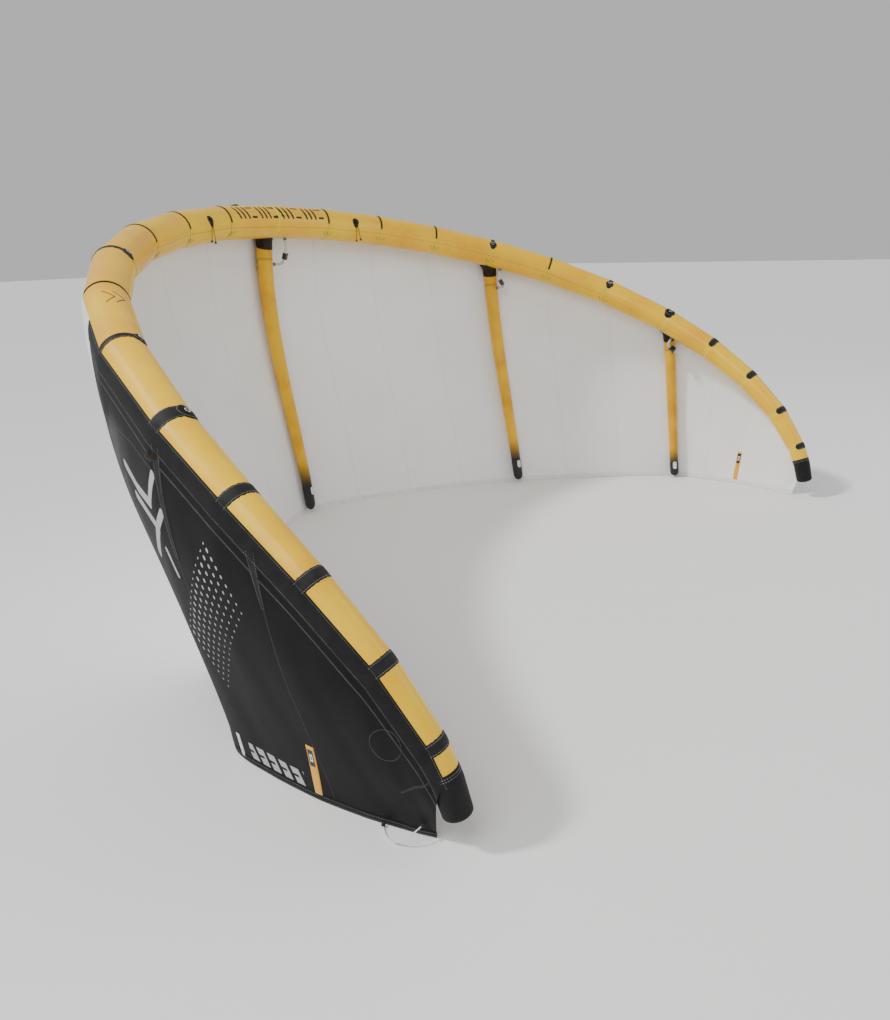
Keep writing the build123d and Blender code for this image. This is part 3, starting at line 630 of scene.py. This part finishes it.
def bandArc(ring, width, start, end, lift=0.0017):
    # a strip of constant width with round ends, round the tube at a seam
    along, radius = math.copysign(halfLength[abs(ring)], ring), halfRadius[abs(ring)]
    x, y, edge = patchGrid(10, 72, math.radians(end - start) * radius, width)
    angle = (start + end) / 2 + np.degrees(x / radius)
    return gridPiece("band", onTube(along + y, angle, edge * (lift + 0.0004) - 0.0004), np.stack([x, y], -1))


def buildBands():
    bands = {kind: [bandArc(ring * side, width, tape["from"], tape["to"])
                    for side in (1, -1) for ring, width in tape["widths"].items()]
             for kind, tape in tapes.items()}
    use(joined("seam_tape_arcs", bands["plain"] + bands["narrow"]), brownCuff, ["seam_tapes"])
    use(joined("reinforcement_band_arcs", bands["wide"]), darkBand, ["reinforcement_bands"])


buildBands()
print("leading edge made")

# stitches: short raised threads in rows
thread = {"pitch": 0.0075, "length": 0.0050, "width": 0.0012, "height": 0.0007, "top": (0.7, 0.5)}


def stitches(name, rows, material, pitch=None):
    # each stitch is a low block with a narrower top, placed along its row; rows are (points, normals)
    pitch = pitch or thread["pitch"]
    at, along, normal = [], [], []

    def follow(marks, run, table):
        return np.stack([np.interp(marks, run, table[:, k]) for k in range(3)], 1)

    for points, normals in rows:
        step = np.linalg.norm(np.diff(points, axis=0), axis=1)
        run = np.concatenate([[0], np.cumsum(step)])
        count = max(2, int(run[-1] / pitch))
        marks = (np.arange(count) + 0.5) * run[-1] / count
        at.append(follow(marks, run, points))
        along.append(unit(follow(marks + 0.001, run, points) - follow(marks - 0.001, run, points)))
        normal.append(unit(follow(marks, run, normals)))
    at, along, normal = (np.concatenate(part) for part in (at, along, normal))
    side = unit(np.cross(normal, along))
    normal = unit(np.cross(along, side))
    corners = [(-1, -1), (1, -1), (1, 1), (-1, 1)]
    shrink = [(1, 1, 0), (*thread["top"], 1)]
    base = [(x * kx, y * ky, z) for kx, ky, z in shrink for x, y in corners]
    block = np.array(base) * (thread["length"] / 2, thread["width"] / 2, thread["height"])
    vertices = (at[:, None] + along[:, None] * block[None, :, :1] + side[:, None] * block[None, :, 1:2]
                + normal[:, None] * block[None, :, 2:]).reshape(-1, 3)
    sides = np.array([(3, 2, 1, 0), (4, 5, 6, 7), (0, 1, 5, 4), (1, 2, 6, 5), (2, 3, 7, 6), (3, 0, 4, 7)])
    faces = (sides[None] + 8 * np.arange(len(at))[:, None, None]).reshape(-1, 4)
    mesh = bpy.data.meshes.new(name)
    mesh.from_pydata(vertices.tolist(), [], faces.tolist())
    piece = finished(name, mesh)
    mesh.polygons.foreach_set("use_smooth", np.zeros(len(mesh.polygons), bool))
    return use(piece, material)


def tubeRow(along, angles, lift=0.0014):
    # a row round the tube at one place, or along it when both are arrays
    s, a = np.broadcast_arrays(np.asarray(along, float), np.asarray(angles, float))
    points = onTube(s, a, lift)
    return points, unit(onTube(s, a, lift + 0.01) - points)


def buildBandStitches():
    rows, fine = [], []
    for side in (1, -1):
        for kind in ("wide", "narrow"):
            tape = tapes[kind]
            angles = np.linspace(tape["from"] + tape["rowStart"], tape["to"] - 6, 60)
            for ring, width in tape["widths"].items():
                for off in (tape["rowInset"] - width / 2, width / 2 - tape["rowInset"]):
                    rows.append(tubeRow(side * halfLength[ring] + off, angles, 0.0016))
        for ring in range(1, 7):
            for edge in (-1, 1):
                fine.append(tubeRow(side * halfLength[ring] + edge * 0.0085, np.linspace(0, 360, 140), 0.0))
    stitches("band_stitches", rows, greyThread)
    stitches("seam_stitches", fine, darkThread)


buildBandStitches()

# canopy: one curved sheet of each colour, sewn to the tube along its front edge
canopy = {"perRing": 16, "stripPerRing": 14, "down": 84, "thickness": 0.0006, "split": -5.45,
          "wrinkle": 0.0022}


def foldLift(place, share):
    # three crossing waves, which die out at the cloth's edges
    edges = smooth(share, 0.0, 0.12) * smooth(1 - share, 0.0, 0.10)
    folds = (np.sin(place * 5.1 + share * 9.0) * 0.5 + np.sin(place * 2.3 - share * 13.0 + 1.3) * 0.35
             + np.sin(place * 9.7 + share * 21.0 + 0.6) * 0.15)
    return canopy["wrinkle"] * (folds + 0.4) * edges


def onCloth(place, share, lift):
    # a point on the folded cloth, a little above it
    return onCanopy(place, share, foldLift(place, share) + lift)


def canopySheet(name, first, last, material, nodes):
    # the camber surface with shallow diagonal folds
    places = np.linspace(first, last, int(abs(last - first) * canopy["perRing"]) + 1)
    shares = smooth(np.linspace(0, 1, canopy["down"]), -0.6, 1.6)
    shares = (shares - shares[0]) / (shares[-1] - shares[0])
    p, t = grid(places, shares)
    points = onCloth(p, t, 0.0)
    along = np.interp(p, ringNumbers, lengths)
    down = t * chordAt(p)
    uv = np.stack([np.abs(along), down], -1)
    gaps = {"seamGap": seamGap(along), "footGap": chordAt(p) - down}
    piece = gridPiece(name, points, uv, attributes=gaps)
    wall = piece.modifiers.new("cloth", "SOLIDIFY")
    wall.thickness, wall.offset = canopy["thickness"], -1.0
    use(piece, material, nodes)
    alongStep, downStep = (np.linalg.norm(np.diff(points, axis=axis), axis=-1) for axis in (0, 1))
    area = float((alongStep[:, :-1] * downStep[:-1]).sum())
    width, length = float(alongStep.sum(0).max()), float(downStep.sum(1).max())
    print(name, "flat", round(width, 3), round(length, 3), "area", round(area, 3))
    return piece, (width, length), min(area, width * length)


sheets = [
    canopySheet("canopy_white_cloth", canopy["split"], 12, whiteCanopyFinish(),
                [f"canopy_panel_{n}_right" for n in range(1, 7)]
                + [f"canopy_panel_{n}_left" for n in (1, 2)]),
    canopySheet("canopy_black_cloth", -12, canopy["split"], blackCanopyFinish(),
                [f"canopy_panel_{n}_left" for n in range(3, 7)])]
print("canopy made")

# strips along the canopy's edges
edging = {"hemHeight": 0.024, "lift": 0.0013, "sunk": 0.0002,
          "onTube": ((30, 0.0002), (30, 0.0016), (22, 0.0020), (14, 0.0030), (8, 0.0044)),   # angle, lift
          "down": (0.002, 0.010, 0.018, 0.026, 0.030)}


def stripPlaces(first, last):
    return np.linspace(first, last, int(abs(last - first) * canopy["stripPerRing"]) + 1)


def frontStrip(name, first, last, material):
    # starts on the tube, bridges to the canopy's front edge and runs a little way down it
    places = stripPlaces(first, last)
    along, chord = np.interp(places, ringNumbers, lengths), chordAt(places)
    rows = [onTube(along, np.full_like(along, angle), lift) for angle, lift in edging["onTube"]]
    rows += [onCloth(places, down / chord, edging["lift"]) for down in edging["down"]]
    rows.append(onCloth(places, edging["down"][-1] / chord, edging["sunk"]))
    return use(gridPiece(name, np.stack(rows, 1)), material)


frontStrip("front_strip_black", -12, canopy["split"], blackCloth)
frontStrip("front_strip_white", canopy["split"], 12, whiteTape)


def trailingHem(name, first, last, material, nodes=()):
    # a folded tape: down the outside, round the edge and up the inside
    places = stripPlaces(first, last)
    chord, top = chordAt(places), edging["hemHeight"]
    outer, inner = edging["lift"], -canopy["thickness"] - edging["lift"]
    profile = [(top, edging["sunk"]), (top, outer), (0.012, outer), (0.003, outer),
               (0.0, outer * 0.6), (0.0, inner * 0.8), (0.003, inner), (0.012, inner), (top, inner),
               (top, -canopy["thickness"] - edging["sunk"])]
    rows = [onCloth(places, 1 - up / chord, lift) for up, lift in profile]
    return use(gridPiece(name, np.stack(rows, 1)), material, nodes)


trailingHem("trailing_hem_black", -12, canopy["split"], blackCloth, ["trailing_edge_hem"])
trailingHem("trailing_hem_white", canopy["split"], 12, whiteTape)


def canopyRow(places, down, lift=0.0014, fromFoot=False):
    chord = chordAt(places)
    share = 1 - down / chord if fromFoot else down / chord
    return onCloth(places, share, lift), canopyNormal(places, share)


def buildEdgeStitches():
    near, far = np.linspace(-12, canopy["split"], 200), np.linspace(canopy["split"], 12, 500)
    pale, dark = [], []
    for places, rows in ((near, pale), (far, dark)):
        rows += [canopyRow(places, 0.024, 0.0016), canopyRow(places, 0.056, 0.0004),
                 canopyRow(places, 0.006, 0.0016, True), canopyRow(places, 0.019, 0.0016, True)]
        along = np.interp(places, ringNumbers, lengths)
        rows.append(tubeRow(along, np.full_like(along, 25.0), 0.0022))
    stitches("canopy_stitches_pale", pale, seamThread)
    stitches("canopy_stitches_white", dark, whiteLine, 0.009)


buildEdgeStitches()


straps = [{"start": (2.825, 0.004), "end": (2.890, 0.300), "width": 0.044, "narrow": 0.60},
          {"start": (3.272, 0.004), "end": (3.335, 0.125), "width": 0.044, "narrow": 0.45}]
oval = {"centre": (3.825, 0.105), "long": 0.088, "short": 0.036, "turn": -48}


def clothPath(start, end, t, side):
    # places on the near wing's cloth, at a share of the way and a distance to one side
    dx, dy = end[0] - start[0], end[1] - start[1]
    span = math.hypot(dx, dy)
    along, down = start[0] + dx * t - side * dy / span, start[1] + dy * t + side * dx / span
    place = placeAt(-along)
    return place, np.clip(down / chordAt(place), 0, 1)


def buildStraps():
    # straps that taper down the cloth from the tube, with a row of stitches inside each edge
    pieces, rows = [], []
    for row in straps:
        x, y, edge = patchGrid(8, 40, 1.0, 0.06)
        t = x + 0.5
        taper = 1 - (1 - row["narrow"]) * t
        place, share = clothPath(row["start"], row["end"], t, y / 0.06 * row["width"] * taper)
        pieces.append(gridPiece("strap", onCloth(place, share, edge * 0.0012 + 0.0001), flip=True))
        for side in (-1, 1):
            t = np.linspace(0.02, 0.97, 90)
            width = row["width"] * (1 - (1 - row["narrow"]) * t) / 2 - 0.005
            place, share = clothPath(row["start"], row["end"], t, side * width)
            rows.append((onCloth(place, share, 0.0014), canopyNormal(place, share)))
    w, turn = np.linspace(0, 2 * np.pi, 90), math.radians(oval["turn"])
    x, y = oval["long"] * np.cos(w), oval["short"] * np.sin(w)
    place = placeAt(-(oval["centre"][0] + x * math.cos(turn) - y * math.sin(turn)))
    share = np.clip((oval["centre"][1] + x * math.sin(turn) + y * math.cos(turn)) / chordAt(place), 0.01, 1)
    rows.append((onCloth(place, share, 0.0003), canopyNormal(place, share)))
    use(joined("canopy_straps", pieces), darkBand)
    stitches("strap_stitches", rows, seamThread)


buildStraps()
print("edges and stitches made")

# struts
strutLook = {"around": 56, "steps": 110, "pucker": 0.0008, "end": 0.965, "badge": 0.925,
             "capStart": 0.91, "capTip": 0.994, "capThickness": 0.0018,
             "cuffLength": 0.075, "cuffThickness": 0.0014, "cuffScallop": 0.016, "cuffSunk": 0.012}


def strutRadius(ring, share):
    top, bottom = strutRadii[abs(ring)]
    return top - (top - bottom) * np.clip(share, 0, 1) ** 1.4


def strutCentre(ring, share):
    # the canopy's camber line moved inwards by the gap and the strut's own radius
    share = np.asarray(share, float)
    k = ring + lastRing
    chord = ribFeet[k] - ribStarts[k]
    depth = camberDepth(share) * np.linalg.norm(chord)
    inward = depth - strutGap - strutRadius(ring, share)
    return ribStarts[k] + np.outer(share, chord) + np.outer(inward, ribOuts[k])


def strutFrames(ring, share):
    centre = strutCentre(ring, share)
    along = unit(strutCentre(ring, share + 0.004) - strutCentre(ring, share - 0.004))
    inward = unit(-ribOuts[ring + lastRing] + along * (along @ ribOuts[ring + lastRing])[:, None])
    return centre, inward, np.cross(along, inward)


def ribChord(ring):
    return np.linalg.norm(ribFeet[ring + lastRing] - ribStarts[ring + lastRing])


def aroundStrut(ring, share, angle, lift=0.0):
    # point on the strut: angle 0 faces into the wing
    centre, inward, side = strutFrames(ring, share.ravel())
    turn = np.radians(angle).ravel()[:, None]
    reach = (strutRadius(ring, share) + lift).ravel()[:, None]
    return (centre + (inward * np.cos(turn) + side * np.sin(turn)) * reach).reshape(share.shape + (3,))


def entryShare(ring):
    # share of the chord at which the strut's line meets the tube
    share = np.linspace(0, 0.5, 400)
    k = ring + lastRing + 1
    offset = strutCentre(ring, share) - centres[k]
    offset -= np.outer(offset @ tangents[k], tangents[k])
    return float(share[np.argmax(np.linalg.norm(offset, axis=1) > radii[k])])


def strutPiece(ring, name, node):
    entry, chord = entryShare(ring), ribChord(ring)
    share = np.linspace(max(entry - 0.03, 0.0), strutLook["end"], strutLook["steps"])
    angle = np.linspace(0, 360, strutLook["around"] + 1)
    t, a = grid(share, angle)
    fold = np.sin(np.radians(a) * 9 + 1.0) * np.sin(t * 60) + np.sin(np.radians(a) * 5) * np.sin(t * 23 + 1)
    ends = np.exp(-(t - entry) * 9) + np.exp(-(strutLook["end"] - t) * 14)
    lift = strutLook["pucker"] * fold * (0.25 + 0.75 * np.clip(ends, 0, 1))
    points = aroundStrut(ring, t, a, lift)[:, :-1]
    uv = np.stack([(t - entry) * chord + 0.085, a / 360], -1)
    piece = gridPiece(name, points, uv, aroundV=True, closeEnds=True, flip=True,
                      attributes={"share": t[:, :-1]})
    return use(piece, strutCloth, [node])


def cuffPiece(ring):
    # sleeve with a scalloped lower edge and a collar that flares on to the tube
    entry, chord = entryShare(ring), ribChord(ring)
    angle = np.linspace(0, 360, strutLook["around"], endpoint=False)
    v, a = grid(np.linspace(0, 1, 22), angle)
    reach = (strutLook["cuffLength"] - strutLook["cuffScallop"] * (1 - np.cos(np.radians(a))) / 2) / chord
    t = entry - strutLook["cuffSunk"] + (reach + strutLook["cuffSunk"]) * v
    flare = 0.016 * np.exp(-np.clip((t - entry) * chord, 0, None) / 0.010)
    lift = strutLook["cuffThickness"] + flare - smooth(v, 0.965, 1.0) * strutLook["cuffThickness"]
    return gridPiece("cuff", aroundStrut(ring, t, a, lift), aroundV=True, flip=True)


def capPiece(ring):
    # sleeve over the foot, closed by a rounded nose
    angle = np.linspace(0, 360, 48, endpoint=False)
    start, end, tip = strutLook["capStart"], strutLook["end"], strutLook["capTip"]
    t = np.concatenate([[start, start], np.linspace(start + 0.003, end, 10),
                        end + (tip - end) * np.sin(np.linspace(0.1, np.pi / 2, 12))])
    nose = np.clip((t - end) / (tip - end), 0, 1)
    base = strutRadius(ring, t) + strutLook["capThickness"]
    radius = base * np.sqrt(np.clip(1 - nose ** 2.4, 0.02, 1))
    radius[0] = strutRadius(ring, t[:1])[0]
    tt, aa = grid(t, angle)
    lift = np.broadcast_to((radius - strutRadius(ring, t))[:, None], tt.shape)
    return gridPiece("cap", aroundStrut(ring, tt, aa, lift), aroundV=True, closeEnds=True, flip=True)


def badgePiece(ring):
    # small rounded label near the strut's foot, on the side that faces into the wing
    x, y, edge = patchGrid(10, 18, 0.050, 0.026)
    share = strutLook["badge"] + x / ribChord(ring)
    angle = -18 * np.sign(ring or 1) + np.degrees(y / strutRadius(ring, share))
    return gridPiece("badge", aroundStrut(ring, share, angle, 0.0016 + edge * 0.0010), flip=True)


strutCloth = strutFinish()
cuffs, caps, badges = [], [], []
for label, ring in strutRings.items():
    strutPiece(ring, f"strut_casing_{label}", f"strut_{label}")
    cuffs.append(cuffPiece(ring))
    caps.append(capPiece(ring))
    badges.append(badgePiece(ring))
use(joined("strut_cuffs", cuffs), brownCuff, ["strut_joint_cuffs"])
use(joined("strut_feet", caps), blackRubber, ["strut_end_caps"])
use(joined("strut_badges", badges), palePaint)
print("struts made")

# wing tips
tips = {"dome": 0.018, "sleeve": 0.034, "thickness": 0.0018, "stitchRows": (-0.026, -0.019),
        "tabPlace": 9.0, "tabLifts": (0.002, -0.0035),
        "tabSize": (0.020, 0.188, 0.046)}                      # gap below it, height, width


def tipCap(side):
    # sleeve over the last stretch of the tube, closed by a low dome
    start = halfLength[lastRing] - tips["sleeve"]
    s = np.concatenate([[start] * 2, np.linspace(start + 0.004, halfLength[-1], 16)])
    angle = np.linspace(0, 360, 64, endpoint=False)
    along, a = grid(s * side, angle)
    lift = np.full_like(a, tips["thickness"])
    lift[0] = 0
    points = onTube(along, a, lift)
    end, axis = centres[-1 if side > 0 else 0], tangents[-1 if side > 0 else 0] * side
    turn = np.linspace(0, np.pi / 2, 9)[1:]
    ring = points[-1]
    dome = [end + (ring - end) * math.cos(w) * 0.999 + axis * tips["dome"] * math.sin(w) for w in turn[:-1]]
    dome.append(np.broadcast_to(end + axis * tips["dome"], ring.shape) + (ring - end) * 0.02)
    return gridPiece("tip", np.concatenate([points, dome]), aroundV=True, closeEnds=True, flip=side > 0)


use(joined("tip_sleeves", [tipCap(1), tipCap(-1)]), blackCloth, ["tip_caps"])
rows = [tubeRow(side * (halfLength[lastRing] + off), np.linspace(0, 360, 120), 0.0022)
        for side in (1, -1) for off in tips["stitchRows"]]
stitches("tip_stitches", rows, greyThread)


def canopyLabel(name, place, bottom, height, width, lift=0.0016, shift=0.0):
    # rectangle on the cloth with softened edges, its long side up the cloth
    u, v = grid(np.linspace(0, 1, 30), np.linspace(-0.5, 0.5, 12))
    side = math.copysign(1, place)
    where = placeAt(side * (halfLength[int(abs(place))] + v * width) + shift)
    share = 1 - (bottom + u * height) / chordAt(where)
    edge = 1 - np.maximum(np.abs(v * 2) ** 14, np.abs(u * 2 - 1) ** 30)
    points = onCloth(where, share, lift * edge + math.copysign(0.0001, lift))
    uv = np.stack([u * height, v * width * side], -1)
    return gridPiece(name, points, uv, flip=(lift > 0) == (place < 0))


tabs = [canopyLabel("tab", side * tips["tabPlace"], *tips["tabSize"], lift)
        for side in (1, -1) for lift in tips["tabLifts"]]
use(joined("wing_tabs", tabs), tabFinish(), ["tip_tabs"])
use(canopyLabel("foot_mark", -7.0, 0.012, 0.085, 0.030, shift=-0.085), palePaint)
print("wing tips made")

# printed marks and bridle patches on the tube
marks = {"barAngle": 148, "arrowAngle": 118, "tickAngle": 226, "columns": (-0.315, -0.145, 0.025, 0.195),
         "arrowShift": 0.125}


def bentMark(start, end, width, at, angle):
    # a flat printed bar: a stadium between two points, in metres along the tube and round it
    span, turn = math.dist(start, end), math.atan2(end[1] - start[1], end[0] - start[0])
    x, y, edge = patchGrid(5, 14, span + width, width)
    along = at + (start[0] + end[0]) / 2 + x * math.cos(turn) - y * math.sin(turn)
    around = (start[1] + end[1]) / 2 + x * math.sin(turn) + y * math.cos(turn)
    points = onTube(along, angle + np.degrees(around / radiusAt(at)), edge * 0.0008 + 0.0001)
    return gridPiece("mark", points, flip=True)


def buildMarks():
    # each bar: its two ends, width, length along the tube and angle round it
    bars = []
    for x in marks["columns"]:                                 # plain slanted bars over the middle
        ends = [(k * 0.034, -0.034, k * 0.034 + 0.016, 0.034, 0.021) for k in range(3)]
        ends += [(0.096, -0.030, 0.136, -0.030, 0.018), (0.112, 0.030, 0.140, 0.030, 0.018)]
        bars += [((x + x0, y0), (x + x1, y1), width, 0.0, marks["barAngle"])
                 for x0, y0, x1, y1, width in ends]
    for low, high in ((-0.040, -0.004), (-0.006, 0.030)):      # nested arrows on the near wing
        at = -halfLength[5] - marks["arrowShift"]
        bars += [((-0.045, low), (0.0, high), 0.007, at, marks["arrowAngle"]),
                 ((0.0, high), (0.045, low), 0.007, at, marks["arrowAngle"])]
    bars += [((0.030 * k, -0.014), (0.016 * k, 0.014), 0.0026, side * halfLength[ring], marks["tickAngle"])
             for ring in range(1, 8) for side in (1, -1) for k in (-1, 0, 1)]      # ticks beside each seam
    use(joined("printed_marks", [bentMark(*bar) for bar in bars]), darkPaint)


buildMarks()


def tearPatch(along, angle, radius, tail, lift=0.0016):
    # a disc drawn out on one side: polar grid whose outline grows to a blunt point
    r, w = grid(np.linspace(0.02, 1, 9), np.linspace(0, 2 * np.pi, 40, endpoint=False))
    outline = radius + tail * np.clip(np.cos(w), 0, 1) ** 6
    x, y = r * outline * np.cos(w), r * outline * np.sin(w)
    points = onTube(along + y, angle + np.degrees(x / radiusAt(along)), (1 - r ** 10) * lift + 0.0002)
    return gridPiece("patch", points, aroundV=True, closeEnds=True)


# place along the tube in rings, angle, radius, length of the point, lift
patchPlaces = [(1.5, 168, 0.024, 0.014, 0.0016), (4, 150, 0.026, 0.010, 0.0034),
               (6, 140, 0.026, 0.010, 0.0034), (7, 116, 0.034, 0.018, 0.0036)]


def buildBridlePatches():
    patches, rows, w = [], [], np.linspace(0, 2 * np.pi, 60)
    for place, angle, radius, tail, lift in patchPlaces:
        for side in (1, -1):
            along = side * float(np.interp(place, np.arange(lastRing + 2), halfLength))
            patches.append(tearPatch(along, angle, radius, tail, lift))
            inner = radius - 0.005
            around = angle + np.degrees(inner * np.cos(w) / radiusAt(along))
            rows.append(tubeRow(along + inner * np.sin(w), around, lift + 0.0006))
    use(joined("bridle_patch_cloth", patches), blackCloth, ["line_patches"])
    stitches("patch_stitches", rows, greyThread, 0.006)


buildBridlePatches()

# line ends: the routes are the CAD routes, in metres
lineEnds = {
    "bridle_pigtail_a": {"diameter": 0.003, "length": 0.110, "lay": "hanging", "points": [
        (.5317, 1.0703, 1.6895), (.5306, 1.0699, 1.6730), (.5293, 1.0689, 1.6570), (.5284, 1.0683, 1.6400),
        (.5274, 1.0685, 1.6200), (.5258, 1.0684, 1.6000), (.5252, 1.0688, 1.5800)]},
    "bridle_pigtail_b": {"diameter": 0.003, "length": 0.105, "lay": "hanging", "points": [
        (.5355, 1.0691, 1.6891), (.5374, 1.0672, 1.6740), (.5394, 1.0654, 1.6580), (.5426, 1.0639, 1.6410),
        (.5462, 1.0628, 1.6230), (.5492, 1.0615, 1.6040), (.5532, 1.0604, 1.5860)]},
    "rear_pigtail": {"diameter": 0.004, "length": 0.179, "lay": "loose", "points": [
        (1.887, -1.236, .052), (1.909, -1.231, .047), (1.927, -1.221, .034), (1.937, -1.205, .017),
        (1.941, -1.183, .006), (1.938, -1.155, .003), (1.926, -1.129, .003), (1.908, -1.110, .004)]},
}


def lineCurve(name, points, diameter, material, node):
    curve = bpy.data.curves.new(name, "CURVE")
    curve.dimensions = "3D"
    curve.bevel_depth, curve.bevel_resolution, curve.resolution_u = diameter / 2, 4, 10
    curve.use_fill_caps = True
    spline = curve.splines.new("NURBS")
    spline.points.add(len(points) - 1)
    for point, place in zip(spline.points, points):
        point.co = (*place, 1)
    spline.order_u, spline.use_endpoint_u = 3, True
    piece = bpy.data.objects.new(name, curve)
    bpy.context.scene.collection.objects.link(piece)
    return use(piece, material, [node])


for key, row in lineEnds.items():
    for side, word in ((1, "right"), (-1, "left")):
        route = [(x * side, y, z) for x, y, z in row["points"]]
        white = key == "rear_pigtail"
        piece = lineCurve(f"{key}_line_{word}", route, row["diameter"], whiteLine if white else darkLine,
                          f"{key}_{word}")
print("line ends made")

# CAD nodes that keep their own shape
kept = {
    "leading_edge_bladders": clearHose, "strut_bladders": clearHose, "bridle_rings": brightSteel,
    "inflation_valve_body": greyPlastic, "deflation_valve_body": greyPlastic,
    "inflation_valve_lid": blackPlastic, "deflation_valve_lid": blackPlastic,
    "hinge_pins": brightSteel, "strut_hoses": clearHose,
    "hose_fittings": greyPlastic, "hose_clip_frames": blackPlastic, "pigtail_knots": darkLine,
    **{name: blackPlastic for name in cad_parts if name.startswith("clip_lever")},
}
for name, material in kept.items():
    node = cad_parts[name]
    node.data.materials.clear()
    node.data.materials.append(material)

# floor, light and camera
view = {"lens": 28.16, "sensor": 36.0, "at": (-3.2596, -2.3618, 1.5229),
        "yaw": 53.29, "pitch": -18.18, "roll": -1.589, "floor": 60.0, "floorLevel": -0.001}


def makeFloor():
    mesh = bpy.data.meshes.new("floor")
    corners = [(x * view["floor"], y * view["floor"], view["floorLevel"])
               for x, y in ((-1, -1), (1, -1), (1, 1), (-1, 1))]
    mesh.from_pydata(corners, [], [(0, 1, 2, 3)])
    floor = finished("floor", mesh)
    f = Finish("paleFloor", {"Roughness": 0.8})
    cloud = f.noise(0.6, 4, 0.5)
    floor.data.materials.append(f.feed(f.blend(cloud, (0.86, 0.86, 0.85), (0.90, 0.90, 0.89))))


def makeLight(name, kind, energy, place, aim, **settings):
    light = bpy.data.lights.new(name, kind)
    light.energy = energy
    for key, value in settings.items():
        setattr(light, key, value)
    lamp = bpy.data.objects.new(name, light)
    lamp.location = place
    lamp.rotation_euler = (Vector(aim) - Vector(place)).to_track_quat("-Z", "Y").to_euler()
    bpy.context.scene.collection.objects.link(lamp)


def makeCamera():
    camera = bpy.data.cameras.new("camera")
    camera.sensor_width, camera.lens = view["sensor"], view["lens"]
    camera.clip_start, camera.clip_end = 0.05, 200.0
    yaw, pitch, roll = (math.radians(view[k]) for k in ("yaw", "pitch", "roll"))
    forward = Vector((math.sin(yaw) * math.cos(pitch), math.cos(yaw) * math.cos(pitch), math.sin(pitch)))
    right = Vector((math.cos(yaw), -math.sin(yaw), 0))
    up = right.cross(forward)
    tiltedRight = right * math.cos(roll) + up * math.sin(roll)
    tiltedUp = up * math.cos(roll) - right * math.sin(roll)
    item = bpy.data.objects.new("camera", camera)
    turn = Matrix((tiltedRight, tiltedUp, -forward)).transposed().to_4x4()
    item.matrix_world = Matrix.Translation(view["at"]) @ turn
    bpy.context.scene.collection.objects.link(item)
    bpy.context.scene.camera = item


makeFloor()
makeLight("sun", "SUN", 2.0, (-3.0, 3.5, 5.0), (0, 0, 0), angle=math.radians(6))
makeLight("softKey", "AREA", 110, (-4.5, -1.5, 4.5), (-1.0, 0.0, 0.6), size=3.0)
makeLight("softFill", "AREA", 80, (3.5, -5.0, 4.0), (0.5, 0.5, 0.8), size=4.0)
world = bpy.data.worlds.new("studio")
world.use_nodes = True
world.node_tree.nodes["Background"].inputs[0].default_value = (1.0, 1.0, 1.0, 1)
world.node_tree.nodes["Background"].inputs[1].default_value = 0.55
bpy.context.scene.world = world
makeCamera()
print("stage made")
